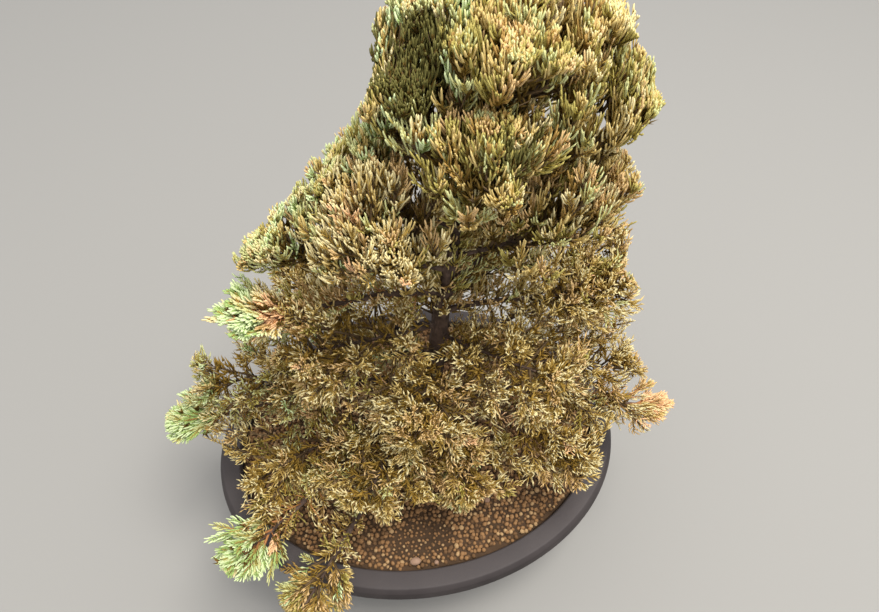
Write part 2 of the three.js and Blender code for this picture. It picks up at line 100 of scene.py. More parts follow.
def piece_from_arrays(points, triangles, name, material, replaced=()):
    mesh = bpy.data.meshes.new(name)
    mesh.vertices.add(len(points))
    mesh.vertices.foreach_set("co", points.astype(np.float32).ravel())
    mesh.loops.add(3 * len(triangles))
    mesh.loops.foreach_set("vertex_index", triangles.astype(np.int32).ravel())
    mesh.polygons.add(len(triangles))
    mesh.polygons.foreach_set("loop_start", np.arange(0, 3 * len(triangles), 3, dtype=np.int32))
    mesh.update(calc_edges=True)
    mesh.validate()
    return finish_piece(mesh, name, material, replaced)


# %% [markdown]
# Materials are built from nodes. Three helpers keep that short: one starts a node group, one adds a
# node with its settings, and one joins sockets. A wire is written as the node it comes from, that
# node's output, the node it goes to and that node's input.

# %% Helpers for nodes


def new_group(name, sockets_in, sockets_out):
    group = bpy.data.node_groups.new(name, "ShaderNodeTree")
    for socket_name, kind, value in sockets_in:
        socket = group.interface.new_socket(socket_name, in_out="INPUT", socket_type=kind)
        socket.default_value = value
    for socket_name, kind in sockets_out:
        group.interface.new_socket(socket_name, in_out="OUTPUT", socket_type=kind)
    return group, group.nodes.new("NodeGroupInput"), group.nodes.new("NodeGroupOutput")


def add_node(tree, kind, values=None, **settings):
    node = tree.nodes.new("ShaderNode" + kind)
    for setting, value in settings.items():
        setattr(node, setting, value)
    for socket, value in (values or {}).items():
        node.inputs[socket].default_value = value
    return node


def wire(tree, *wires):
    for giver, output, taker, socket in wires:
        tree.links.new(giver.outputs[output], taker.inputs[socket])


# %% [markdown]
# Two effects are used by several materials, so each is a node group with named inputs. Mottle gives a
# slow change between two colours, as dust, damp and weather do: it is cloudy noise, and the smaller
# its Contrast, the narrower the band in which one colour turns into the other. Grain gives a fine
# bump. Both read Object coordinates, which don't move, because every piece's object stands at the
# origin.

# %% Shared effects
mottle_group, entry, leave = new_group(
    "mottle",
    [
        ("First", "NodeSocketColor", (0.5, 0.5, 0.5, 1)),
        ("Second", "NodeSocketColor", (0.3, 0.3, 0.3, 1)),
        ("Scale", "NodeSocketFloat", 20.0),
        ("Contrast", "NodeSocketFloat", 0.2),
    ],
    [("Color", "NodeSocketColor")],
)
coordinates = add_node(mottle_group, "TexCoord")
clouds = add_node(mottle_group, "TexNoise", {"Detail": 5, "Roughness": 0.6})
low_edge = add_node(mottle_group, "Math", {0: 0.5}, operation="SUBTRACT")
high_edge = add_node(mottle_group, "Math", {0: 0.5}, operation="ADD")
band = add_node(mottle_group, "MapRange")
two_colours = add_node(mottle_group, "Mix", data_type="RGBA")
wire(
    mottle_group,
    (coordinates, "Object", clouds, "Vector"),
    (entry, "Scale", clouds, "Scale"),
    (entry, "Contrast", low_edge, 1),
    (entry, "Contrast", high_edge, 1),
    (clouds, "Fac", band, "Value"),
    (low_edge, 0, band, "From Min"),
    (high_edge, 0, band, "From Max"),
    (band, "Result", two_colours, "Factor"),
    (entry, "First", two_colours, "A"),
    (entry, "Second", two_colours, "B"),
    (two_colours, "Result", leave, "Color"),
)

grain_group, entry, leave = new_group(
    "grain",
    [
        ("Scale", "NodeSocketFloat", 400.0),
        ("Strength", "NodeSocketFloat", 0.3),
        ("Distance", "NodeSocketFloat", 0.0005),
        ("Stretch", "NodeSocketVector", (1, 1, 1)),
    ],
    [("Normal", "NodeSocketVector")],
)
coordinates = add_node(grain_group, "TexCoord")
stretch = add_node(grain_group, "VectorMath", operation="MULTIPLY")
specks = add_node(grain_group, "TexNoise", {"Detail": 3})
raised = add_node(grain_group, "Bump")
wire(
    grain_group,
    (coordinates, "Object", stretch, 0),
    (entry, "Stretch", stretch, 1),
    (stretch, "Vector", specks, "Vector"),
    (entry, "Scale", specks, "Scale"),
    (entry, "Strength", raised, "Strength"),
    (entry, "Distance", raised, "Distance"),
    (specks, "Fac", raised, "Height"),
    (raised, "Normal", leave, "Normal"),
)
print("effects:", ", ".join(group.name for group in (mottle_group, grain_group)))

# %% [markdown]
# Every material here is matte. It has one plain colour or a mottle of two, and most have a grain. A
# grain's Scale is about how many specks there are to the metre, and its Distance is their height.

# %% A helper for materials
DULL_GLOSS = 0.25


def new_material(name, roughness, grain=None, colour=None, mottle=None, gloss=0.5):
    material = bpy.data.materials.new(name)
    material.use_nodes = True
    tree = material.node_tree
    shader = tree.nodes["Principled BSDF"]
    shader.inputs["Roughness"].default_value = roughness
    shader.inputs["Specular IOR Level"].default_value = gloss
    if colour:
        shader.inputs["Base Color"].default_value = (*colour, 1)
    if mottle:
        node = add_node(tree, "Group", mottle, node_tree=mottle_group)
        wire(tree, (node, "Color", shader, "Base Color"))
    if grain:
        node = add_node(tree, "Group", grain, node_tree=grain_group)
        wire(tree, (node, "Normal", shader, "Normal"))
    return material


# %% [markdown]
# The pot. The real one is moulded in a matte, brown plastic with a wide lip. Its outline is drawn
# once as a line of edges from the middle of the underside, round the lip and down to the floor
# inside, its corners are rounded by a bevel of the line's points, and the line is spun round. The pot
# is an oval whose width and length differ by the same amount at the rim and at the foot, so each ring
# is then narrowed by that much, and the small rings of the floor in proportion.

# %% Model the pot
POT_HEIGHT = 115
RIM_HALF_LENGTH = 200
OVAL_DIFFERENCE = 41
FOOT_HALF_LENGTH = 150
WALL = 6
LIP_WIDTH = 16
LIP_BAND = 19
LIP_SWELL = 5
LIP_OVERHANG = 12
LIP_FULLEST = 0.7
LIP_SHOULDER = 0.3
LIP_SHOULDER_SWELL = 0.7
LIP_DISH = 1
LIP_INNER_BAND = 6
FOOT_CHAMFER = 4
POT_FLOOR = 7
CORNER_ROUNDING = 1.1
MERGE_WITHIN = 1e-4
POT_STEPS = 144
INNER_CORNER = FOOT_HALF_LENGTH - WALL
WALL_TOP = POT_HEIGHT - LIP_BAND - 2
INNER_WALL_TOP = RIM_HALF_LENGTH - LIP_OVERHANG - WALL
PROPORTIONAL_WITHIN = FOOT_HALF_LENGTH - 3 * WALL


def half_width(half_length):
    if half_length > PROPORTIONAL_WITHIN:
        return half_length - OVAL_DIFFERENCE
    return half_length * (1 - OVAL_DIFFERENCE / PROPORTIONAL_WITHIN)


def spin_oval(outline, steps):
    bm = bmesh.new()
    line = [bm.verts.new((half_length, 0, height)) for half_length, height in outline]
    for first, second in zip(line, line[1:]):
        bm.edges.new((first, second))
    bmesh.ops.bevel(
        bm, geom=line[1:-1], offset=CORNER_ROUNDING, segments=3, profile=0.5, affect="VERTICES",
        material=-1, clamp_overlap=True,
    )
    bmesh.ops.spin(
        bm, geom=bm.verts[:] + bm.edges[:], axis=(0, 0, 1), cent=(0, 0, 0), angle=2 * math.pi,
        steps=steps, use_merge=True,
    )
    bmesh.ops.remove_doubles(bm, verts=bm.verts, dist=MERGE_WITHIN)
    for vert in bm.verts:
        ring = math.hypot(vert.co.x, vert.co.y)
        if ring > 1e-6:
            vert.co.y *= half_width(ring) / ring
    bmesh.ops.recalc_face_normals(bm, faces=bm.faces)
    return bm


POT_OUTLINE = [
    (0, 0),
    (FOOT_HALF_LENGTH - FOOT_CHAMFER, 0),
    (FOOT_HALF_LENGTH, FOOT_CHAMFER),
    (RIM_HALF_LENGTH - LIP_OVERHANG, WALL_TOP),
    (RIM_HALF_LENGTH + LIP_SWELL / 2, POT_HEIGHT - LIP_BAND),
    (RIM_HALF_LENGTH + LIP_SWELL, POT_HEIGHT - LIP_FULLEST * LIP_BAND),
    (RIM_HALF_LENGTH + LIP_SHOULDER_SWELL * LIP_SWELL, POT_HEIGHT - LIP_SHOULDER * LIP_BAND),
    (RIM_HALF_LENGTH, POT_HEIGHT),
    (RIM_HALF_LENGTH - LIP_WIDTH, POT_HEIGHT - LIP_DISH),
    (INNER_WALL_TOP, POT_HEIGHT - LIP_INNER_BAND),
    (INNER_WALL_TOP, WALL_TOP),
    (INNER_CORNER, POT_FLOOR + WALL),
    (INNER_CORNER - WALL, POT_FLOOR),
    (0, POT_FLOOR),
]
pot_mesh = spin_oval(POT_OUTLINE, POT_STEPS)
bmesh.ops.scale(pot_mesh, vec=(MM, MM, MM), verts=pot_mesh.verts)

# %% [markdown]
# The pot's plastic is a mauve brown that has greyed with sun and dust. It is matte, with a fine
# moulded grain. Dust lies on what faces up, so the upright part of the surface's normal decides how
# much of the dust's colour is mixed in. The mix goes between the mottle and the shader.

# %% Paint the pot
pot_plastic = new_material(
    "pot_plastic", 0.62, gloss=DULL_GLOSS,
    mottle=dict(First=(0.0230, 0.0182, 0.0192, 1), Second=(0.048, 0.040, 0.041, 1),
                Scale=22.0, Contrast=0.22),
    grain=dict(Scale=900.0, Strength=0.35, Distance=0.0004),
)
tree = pot_plastic.node_tree
base_colour = tree.nodes["Principled BSDF"].inputs["Base Color"]
facing = add_node(tree, "NewGeometry")
split_normal = add_node(tree, "SeparateXYZ")
upward = add_node(tree, "MapRange", {"From Min": 0.35, "From Max": 1.0, "To Max": 0.55})
dusty = add_node(tree, "Mix", {"B": (0.086, 0.077, 0.082, 1)}, data_type="RGBA")
wire(
    tree,
    (facing, "Normal", split_normal, "Vector"),
    (split_normal, "Z", upward, "Value"),
    (upward, "Result", dusty, "Factor"),
)
tree.links.new(base_colour.links[0].from_socket, dusty.inputs["A"])
tree.links.new(dusty.outputs["Result"], base_colour)
piece_from_bmesh(pot_mesh, "training_pot", pot_plastic, ["pot"])

# %% [markdown]
# The soil is a low, uneven mound of round baked-clay grains, 4 to 6 mm across. Its heights are felt
# out on the frame's own soil solid by rays that look straight down. A dark bed is spun for the mound
# and laid a little lower, so that no floor shows between the grains.

# %% Model the soil's bed
SOIL_EDGE = 106
SOIL_TOP = 120
BED_CLEAR = 1
BED_RAISED = 0.5
BED_BELOW = 1.5
BED_RINGS = 16
BED_STEPS = 96
soil_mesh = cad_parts["soil"].data
soil_solid = BVHTree.FromPolygons(
    [vert.co for vert in soil_mesh.vertices], [polygon.vertices for polygon in soil_mesh.polygons])


def soil_height(x, y):
    place, _, _, _ = soil_solid.ray_cast(Vector((x * MM, y * MM, 1)), Vector((0, 0, -1)))
    return place.z / MM if place else SOIL_EDGE


bed_edge = INNER_WALL_TOP - BED_CLEAR
bed_outline = [
    (0, POT_FLOOR + BED_RAISED),
    (INNER_CORNER - WALL - BED_CLEAR, POT_FLOOR + BED_RAISED),
    (INNER_CORNER - BED_CLEAR, POT_FLOOR + WALL),
    (bed_edge, WALL_TOP),
]
bed_outline += [(ring, SOIL_EDGE) for ring in np.linspace(bed_edge, 0, BED_RINGS)]
bed_mesh = spin_oval(bed_outline, BED_STEPS)
for vert in bed_mesh.verts:
    if vert.co.z > WALL_TOP + BED_BELOW:
        vert.co.z = soil_height(vert.co.x, vert.co.y) - BED_BELOW
bmesh.ops.scale(bed_mesh, vec=(MM, MM, MM), verts=bed_mesh.verts)
bed_earth = new_material(
    "bed_earth", 0.95,
    mottle=dict(First=(0.044, 0.025, 0.012, 1), Second=(0.085, 0.048, 0.025, 1),
                Scale=60.0, Contrast=0.2),
    grain=dict(Scale=500.0, Strength=0.8, Distance=0.001),
)
piece_from_bmesh(bed_mesh, "soil_bed", bed_earth, ["soil"])

# %% [markdown]
# The grains lie on a jittered honeycomb, up to the pot's inner wall, and each sinks about half its
# height or more into the mound. A patch of finer silt lies near the front. To know how close a point
# is to the wall, the oval's half length through that point is worked out by a dozen rounds of
# correction.

# %% Find places for the grains
GRAIN_STEP = 4.4
GRAIN_JITTER = 0.3
GRAIN_RADII = (1.9, 3.0)
GRAIN_HEIGHTS = (-1.6, 0.6)
GRAIN_SUNK = 0.4
GRAIN_CLEAR = 0.5
FIELD_HALF = (200, 170)
SILT_MIDDLE = (-16, -112)
SILT_HALF = (30, 17)
SILT_FINENESS = 0.62
RING_GUESS = 20.0
RING_ROUNDS = 12
random_soil = np.random.default_rng(11)


def soil_ring(x, y):
    """The half length of the oval ring that passes through a point of the mound."""
    ring = np.hypot(x, y) + RING_GUESS
    for _ in range(RING_ROUNDS):
        narrow = np.where(ring > PROPORTIONAL_WITHIN, 1 - OVAL_DIFFERENCE / ring,
                          1 - OVAL_DIFFERENCE / PROPORTIONAL_WITHIN)
        ring = np.hypot(x, y / narrow)
    return ring


def lay_grains():
    rows = np.arange(-FIELD_HALF[1], FIELD_HALF[1] + 1, GRAIN_STEP * math.sqrt(3) / 2)
    columns = np.arange(-FIELD_HALF[0], FIELD_HALF[0] + 1, GRAIN_STEP)
    x, y = np.meshgrid(columns, rows)
    x[1::2] += GRAIN_STEP / 2
    x, y = x.ravel(), y.ravel()
    x = x + random_soil.uniform(-1, 1, len(x)) * GRAIN_JITTER * GRAIN_STEP
    y = y + random_soil.uniform(-1, 1, len(y)) * GRAIN_JITTER * GRAIN_STEP
    radius = random_soil.uniform(*GRAIN_RADII, len(x))
    keep = soil_ring(x, y) < INNER_WALL_TOP - GRAIN_CLEAR - radius
    x, y, radius = x[keep], y[keep], radius[keep]
    silted = np.hypot((x - SILT_MIDDLE[0]) / SILT_HALF[0], (y - SILT_MIDDLE[1]) / SILT_HALF[1]) < 1
    radius = np.where(silted, radius * SILT_FINENESS, radius)
    z = np.array([soil_height(*place) for place in zip(x, y)])
    z += random_soil.uniform(*GRAIN_HEIGHTS, len(x)) - GRAIN_SUNK
    return np.stack([x, y, z], axis=1), radius


grain_places, grain_radii = lay_grains()
print(len(grain_places), "grains of soil")

# %% [markdown]
# Each grain is a twenty-sided ball, squashed, made lumpy and turned at random. A ball is made once
# with an operator, and arrays repeat it. Three plain tints are dealt out among the grains.

# %% Lay the grains
GRAIN_SQUASH = (0.72, 1.08)
GRAIN_LUMPS = (0.88, 1.1)
GRAIN_TINTS = {
    "clay_brown": ((0.285, 0.155, 0.066), 0.58),
    "clay_dark": ((0.15, 0.080, 0.034), 0.25),
    "clay_pale": ((0.43, 0.28, 0.14), 0.17),
}


def unit_ball():
    bm = bmesh.new()
    bmesh.ops.create_icosphere(bm, subdivisions=1, radius=1)
    bm.verts.ensure_lookup_table()
    points = np.array([v.co for v in bm.verts])
    faces = np.array([[v.index for v in f.verts] for f in bm.faces])
    bm.free()
    return points, faces


def random_turns(count):
    """Turning matrices, from unit quaternions."""
    q = random_soil.normal(size=(count, 4))
    w, x, y, z = (q / np.linalg.norm(q, axis=1, keepdims=True)).T
    return np.stack([
        1 - 2 * (y * y + z * z), 2 * (x * y - w * z), 2 * (x * z + w * y),
        2 * (x * y + w * z), 1 - 2 * (x * x + z * z), 2 * (y * z - w * x),
        2 * (x * z - w * y), 2 * (y * z + w * x), 1 - 2 * (x * x + y * y),
    ], axis=1).reshape(-1, 3, 3)


ball_points, ball_faces = unit_ball()
grain_turns = random_turns(len(grain_places))
squash = random_soil.uniform(*GRAIN_SQUASH, (len(grain_places), 1, 3))
lumps = random_soil.uniform(*GRAIN_LUMPS, (len(grain_places), len(ball_points), 1))
grain_points = ball_points[None] * squash * lumps * grain_radii[:, None, None]
grain_points = np.einsum("nij,nvj->nvi", grain_turns, grain_points) + grain_places[:, None]
grain_kinds = random_soil.choice(len(GRAIN_TINTS), len(grain_places),
                                 p=[share for _, share in GRAIN_TINTS.values()])
for kind, (tint_name, (tint, _)) in enumerate(GRAIN_TINTS.items()):
    chosen = grain_points[grain_kinds == kind]
    offsets = np.arange(len(chosen))[:, None, None] * len(ball_points)
    clay = new_material(tint_name, 0.9, colour=tint,
                        grain=dict(Scale=1500.0, Strength=0.5, Distance=0.0004))
    piece_from_arrays(chosen.reshape(-1, 3) * MM, (ball_faces[None] + offsets).reshape(-1, 3),
                      "soil_" + tint_name, clay)

# %% [markdown]
# Three small stones lie on the grains in front of the trunk: a flat pebble and two beads. Each is a
# ball that is scaled to its three half sizes and sits half a half size deep. One pinkish paint does
# for all of them.

# %% Lay the stones
STONES = [
    ((-23.5, -131.5), (5.2, 3.7, 3.0)),
    ((-4.5, -136.0), (2.2, 2.1, 2.0)),
    ((53.6, -88.1), (2.7, 2.4, 2.2)),
]
stones_mesh = bmesh.new()
for place, half_sizes in STONES:
    stone = bmesh.ops.create_icosphere(stones_mesh, subdivisions=3, radius=MM)["verts"]
    bmesh.ops.scale(stones_mesh, vec=half_sizes, verts=stone)
    middle = Vector((*place, soil_height(*place) + half_sizes[2] / 2))
    bmesh.ops.translate(stones_mesh, vec=middle * MM, verts=stone)
stone_paint = new_material(
    "stone", 0.7,
    mottle=dict(First=(0.27, 0.165, 0.115, 1), Second=(0.36, 0.235, 0.165, 1),
                Scale=90.0, Contrast=0.2),
)
piece_from_bmesh(stones_mesh, "soil_stones", stone_paint)

# %% [markdown]
# The tree's plan. These are the source's own numbers, with lengths in millimetres: the trunk's path
# with its taper and its flared foot, how limbs and the stems inside the masses are shaped, and the
# seeds of the masses.

# %% Sizes of trunk and limbs
GAP = 0.3
SPACE_MARGIN = 0.5
LOWEST_LEAF = POT_HEIGHT + 1
TRUNK_POINTS = [(12, 0, SOIL_TOP + GAP), (12, 0, 230), (38, 6, 430), (54, 10, 572)]
TRUNK_TIP_RADIUS = 1.5
TRUNK_SWELL = 10.5
TRUNK_TAPER = 1.5
FLARE = 5
FLARE_HEIGHT = 0.03
SHORT_LIMB = 52
LIMB_TIP_RADIUS = 1.8
LIMB_STOUTNESS = 0.015
LIMB_ARCH = 0.1
STEM_SHARE = 0.72
STEM_TIP_RADIUS = 0.8
TWIG_PITCH = math.radians(62)
LIFT_TURN = 0.5
GOLDEN_ANGLE = math.pi * (3 - math.sqrt(5))
FIRST_SEED = 101
SEED_STEP = 37
print("the trunk rises from", TRUNK_POINTS[0][2], "to", TRUNK_POINTS[-1][2], "mm")

# %% [markdown]
# For each mass of foliage the plan gives its middle, its half sizes, the height at which its limb
# leaves the trunk, how much its twigs turn up and whether it is dense. The last word on each line
# says how it grows: upright bundles high in the crown, finer curling sprays low down, and a few
# long young shoots.

# %% The masses of foliage
MASSES = [
    ("top", (47, 4, 550), (36, 35, 34), 524, 0.9, True, "upper"),
    ("upper_left", (19, 3, 530), (36, 36, 41), 488, 0.9, True, "upper"),
    ("upper_front", (56, -34, 525), (43, 38, 42), 466, 0.7, True, "upper"),
    ("upper_right", (97, 6, 521), (40, 41, 41), 478, 0.8, True, "upper"),
    ("upper_back", (63, 49, 520), (50, 41, 47), 460, 0.7, True, "upper"),
    ("right_shoulder", (118, -7, 479), (41, 44, 42), 424, 0.6, True, "upper"),
    ("front_collar", (47, -56, 482), (43, 38, 32), 414, 0.5, True, "middle"),
    ("left_shoulder", (8, -20, 494), (43, 42, 46), 440, 0.7, True, "upper"),
    ("left_high", (-34, -10, 441), (44, 46, 41), 396, 0.6, True, "middle"),
    ("left_middle", (-77, -18, 394), (47, 47, 40), 354, 0.5, True, "middle"),
    ("left_long_shoot", (-96, -49, 364), (52, 26, 16), 330, 0.1, False, "shoot"),
    ("left_inner", (-8, -45, 420), (46, 41, 48), 378, 0.4, True, "middle"),
    ("right_middle", (94, -12, 408), (46, 47, 52), 366, 0.4, True, "middle"),
    ("right_brown_tuft", (135, 4, 328), (47, 42, 35), 306, 0.3, True, "lower"),
    ("back_middle", (70, 68, 447), (55, 53, 48), 404, 0.5, True, "middle"),
    ("back_left", (-9, 53, 396), (55, 52, 58), 346, 0.5, True, "middle"),
    ("back_right", (125, 61, 368), (52, 54, 56), 338, 0.5, True, "middle"),
    ("back_inner", (56, 56, 318), (56, 52, 46), 296, 0.3, True, "lower"),
    ("front_middle_left", (-48, -30, 304), (62, 58, 55), 288, 0.2, True, "lower"),
    ("front_middle", (10, -52, 264), (53, 49, 42), 266, 0, True, "lower"),
    ("front_middle_right", (78, -34, 286), (56, 58, 54), 276, 0.1, True, "lower"),
    ("front_lower_left", (-25, -82, 206), (50, 50, 36), 240, -0.2, True, "lower"),
    ("front_lower", (39, -75, 204), (46, 46, 43), 230, -0.3, True, "lower"),
    ("front_lower_right", (116, -54, 196), (52, 52, 36), 218, -0.2, True, "lower"),
    ("right_lower", (146, 3, 228), (59, 58, 52), 256, 0.1, True, "lower"),
    ("orange_shoot", (199, -19, 196), (39, 29, 19), 196, 0.1, False, "orange"),
    ("left_lower", (-125, -13, 236), (68, 65, 58), 254, 0, True, "lower"),
    ("left_green_tip", (-192, -34, 196), (38, 29, 23), 214, 0.1, False, "shoot"),
    ("front_left_low", (-96, -61, 186), (65, 58, 50), 200, -0.2, True, "lower"),
    ("green_shoot", (-135, -138, 164), (46, 32, 26), 178, 0, False, "shoot"),
    ("hanging_front", (-81, -167, 150), (32, 29, 38), 164, -0.2, False, "hanging"),
    ("back_lower_left", (-82, 69, 238), (72, 67, 65), 238, 0, True, "lower"),
    ("back_lower", (13, 102, 252), (72, 62, 60), 246, 0, True, "lower"),
    ("back_lower_right", (125, 77, 236), (70, 65, 55), 226, 0, True, "lower"),
]
print(len(MASSES), "masses of foliage")

# %% [markdown]
# The source draws its numbers from a small generator of its own, and its limbs are Bezier curves that
# are asked for points by their share of the length. Both are repeated here, so that everything starts
# where the solids do.

# %% Numbers, directions and curves
UP = np.array([0.0, 0.0, 1.0])
STEEP = 0.9
CURVE_POINTS = 201
TANGENT_REACH = 0.005


def seeded(seed):
    """The source's own run of numbers, from 0 to 1, for a seed."""
    state = seed
    while True:
        state = (state * 1664525 + 1013904223) & 0xFFFFFFFF
        yield state / 4294967296


def unit(vectors):
    return vectors / np.maximum(np.linalg.norm(vectors, axis=-1, keepdims=True), 1e-9)


def square_to(directions):
    """Two directions square to each of the given ones, and to each other."""
    steep = np.abs(directions[..., 2:3]) > STEEP
    reference = np.where(steep, np.array([1.0, 0, 0]), UP)
    side = unit(np.cross(directions, reference))
    return side, unit(np.cross(side, directions))


class Path:
    """A Bezier curve whose points are asked for by their share of its length."""

    def __init__(self, controls):
        t = np.linspace(0, 1, CURVE_POINTS)[:, None]
        points = np.array(controls, float)[None] * np.ones((len(t), 1, 1))
        while points.shape[1] > 1:
            points = points[:, :-1] * (1 - t[..., None]) + points[:, 1:] * t[..., None]
        self.points = points[:, 0]
        steps = np.linalg.norm(np.diff(self.points, axis=0), axis=1)
        self.shares = np.concatenate([[0], np.cumsum(steps)]) / steps.sum()
        self.length = steps.sum()

    def at(self, share):
        return np.array([np.interp(share, self.shares, self.points[:, k]) for k in range(3)]).T

    def tangent(self, share):
        low = np.clip(np.asarray(share) - TANGENT_REACH, 0, 1)
        high = np.clip(np.asarray(share) + TANGENT_REACH, 0, 1)
        return unit(self.at(high) - self.at(low))


trunk_path = Path(TRUNK_POINTS)
print("the trunk is", round(trunk_path.length), "mm long")

# %% [markdown]
# Where the crown ends. Every mass adds to one density, which is 1 on a lone mass's ellipsoid, so the
# dips between neighbours fill in. A few notches take some away, where the photograph's outline steps
# in. Foliage may grow where the density is high enough, and a gentle swell makes that limit uneven.

# %% The crown's density
MIDDLES = np.array([row[1] for row in MASSES], float)
HALF_SIZES = np.array([row[2] for row in MASSES], float)
DENSITY_FALL = 3.0
DENSITY_END = 9
NOTCHES = [((-60, -10, 470), 24), ((-104, -10, 428), 22), ((-20, -10, 520), 16)]
NOTCH_WEIGHT = 4.0
UNEVEN_SIZE = 8.5
UNEVEN_DEPTH = 0.9


def crown_density(points, stretch=1.0):
    total = np.zeros(points.shape[:-1])
    for middle, radius in NOTCHES:
        apart = np.sum(((points - np.array(middle)) / radius) ** 2, axis=-1)
        total -= NOTCH_WEIGHT * np.exp(-apart)
    for middle, half in zip(MIDDLES, HALF_SIZES):
        apart = np.sum(((points - middle) / (half * stretch)) ** 2, axis=-1)
        total += np.exp(DENSITY_FALL * (1 - np.minimum(apart, DENSITY_END)))
    return total


def unevenness(points):
    """A gentle swell, from -1 to 1, that roughens the crown's outline."""
    x, y, z = (points[..., axis] / UNEVEN_SIZE for axis in range(3))
    waves = np.sin(x + 1.7 * np.sin(0.7 * z)) + np.sin(1.3 * y + 1.1 * np.sin(0.9 * x))
    return (waves + np.sin(1.1 * z + 1.5 * np.sin(0.8 * y))) / 3


densities = crown_density(MIDDLES)
print("density in the masses' middles:", round(densities.min(), 1), "to", round(densities.max(), 1))

# %% [markdown]
# The source gives each mass a space: its ellipsoid inside flat walls towards its neighbours and above
# the pot's rim. Where limbs and stems end follows from it, so it is repeated here. The twigs and
# leaves, which are finer than the source's, keep to the crown's shared outline instead.

# %% The space of one mass
MOST_STRAY = 1.55
REACH_STEPS = 81
REACH_FARTHEST = 200


class Space:
    def __init__(self, index):
        self.middle, self.half = MIDDLES[index], HALF_SIZES[index]
        normals, offsets = [-UP], [-float(LOWEST_LEAF)]
        for other in range(len(MASSES)):
            if other == index:
                continue
            across = MIDDLES[other] - self.middle
            distance = np.linalg.norm(across)
            across = across / distance
            own = 1 / np.linalg.norm(across / self.half)
            theirs = 1 / np.linalg.norm(across / HALF_SIZES[other])
            normals.append(across)
            offsets.append(across @ self.middle + own + (distance - own - theirs) / 2 - SPACE_MARGIN)
        self.normals, self.offsets = np.array(normals), np.array(offsets)

    def contains(self, points, stretch=1.0):
        """Inside the crown's own outline, near this mass, and above the rim."""
        near = np.linalg.norm((points - self.middle) / self.half, axis=-1) <= MOST_STRAY
        outline = np.exp(UNEVEN_DEPTH * unevenness(points))
        return near & (crown_density(points, stretch) >= outline) & (points[..., 2] >= LOWEST_LEAF)

    def reach(self, points, directions):
        """How far it is to the ellipsoid or the nearest wall."""
        begin = (points - self.middle) / self.half
        along = directions / self.half
        a = np.sum(along * along, axis=-1)
        b = np.sum(begin * along, axis=-1)
        c = np.sum(begin * begin, axis=-1) - 1
        nearest = (-b + np.sqrt(np.maximum(0, b * b - a * c))) / a
        closing = directions @ self.normals.T
        room = self.offsets - points @ self.normals.T
        walls = np.where(closing > 1e-9, room / np.maximum(closing, 1e-9), np.inf)
        return np.maximum(0, np.minimum(nearest, walls.min(axis=-1)))

    def open_reach(self, points, directions):
        """How far it is to the crown's outline, felt out in small steps."""
        steps = np.linspace(0, 1, REACH_STEPS)
        ends = points[:, None] + directions[:, None] * (steps * REACH_FARTHEST)[None, :, None]
        return REACH_FARTHEST * np.argmin(self.contains(ends), axis=1) / (REACH_STEPS - 1)


# %% [markdown]
# A mass hangs on a limb, which leaves the trunk at the height that the plan gives, arches a little and
# ends where the mass's space begins. A stem goes on from there through the mass's middle. A limb that
# is long enough to be seen is a bough of its own.

# %% The limb and the stem of each mass


def trunk_radius(share):
    flare = FLARE * np.exp(-share / FLARE_HEIGHT)
    return TRUNK_TIP_RADIUS + TRUNK_SWELL * (1 - share) ** TRUNK_TAPER + flare


def stem_radius(share):
    return LIMB_TIP_RADIUS + (STEM_TIP_RADIUS - LIMB_TIP_RADIUS) * share


class Mass:
    def __init__(self, index):
        self.name, _, _, self.start, self.lift, self.dense, self.habit = MASSES[index]
        self.seed = FIRST_SEED + SEED_STEP * index
        self.space = Space(index)
        middle = self.space.middle
        root = trunk_path.at(np.interp(self.start, trunk_path.points[:, 2], trunk_path.shares))
        outward = unit(middle - root)
        entry_point = middle - outward * self.space.reach(middle, -outward)
        self.limb_length = np.linalg.norm(entry_point - root)
        arch = (root + entry_point) / 2 + UP * LIMB_ARCH * self.limb_length
        onward = unit(outward + UP * self.lift * LIFT_TURN)
        end = middle + onward * STEM_SHARE * self.space.reach(middle, onward)
        self.limb = Path([root, arch, entry_point])
        self.is_bough = self.limb_length > SHORT_LIMB
        self.stem = Path([entry_point, middle, end])

    def limb_radius(self, share):
        return LIMB_TIP_RADIUS + LIMB_STOUTNESS * self.limb_length * (1 - share)


masses = [Mass(index) for index in range(len(MASSES))]
print(len(masses), "masses,", sum(mass.is_bough for mass in masses), "of them on boughs")

# %% [markdown]
# The tree's own frame is the pot's frame turned a little. Everything that grows is worked out in
# millimetres in the tree's frame, and turned and scaled into place at the end, point by point for
# arrays and in one operator for a bmesh.

# %% From the tree's frame to the pot's
tree_matrix = Matrix.Rotation(TREE_TURN, 4, "Z") @ Matrix.Scale(MM, 4)
TREE_ARRAY = np.array(tree_matrix)[:3, :3]


def to_pot(points):
    return points @ TREE_ARRAY.T


def place_limbs(bm):
    bmesh.ops.recalc_face_normals(bm, faces=bm.faces)
    bmesh.ops.transform(bm, matrix=tree_matrix, verts=bm.verts)


print("the tree stands turned by", round(math.degrees(TREE_TURN)), "degrees in its pot")

# %% [markdown]
# Trunk and boughs. A limb starts as one circle, which is extruded step by step into a straight post
# of unit radius. The post is then bent along the limb's path and thinned by its taper. Bark in
# long, shallow strips comes from moving each point in or out by a noise that is stretched along
# the limb. A few lengthwise flutes widen into the root flare at the foot.

# %% Bend a post into a limb
BARK_DEPTH = 0.75
BARK_FULL_FROM = 6
STRIPS_ROUND = 5
STRIP_LENGTH = 16
KNOTS_ROUND = 1.5
KNOT_LENGTH = 9
KNOT_SHIFT = 40
KNOT_SHARE = 0.6
FLUTES = 5
FLUTE_TURN = 0.6
FLUTE_FADE = 30


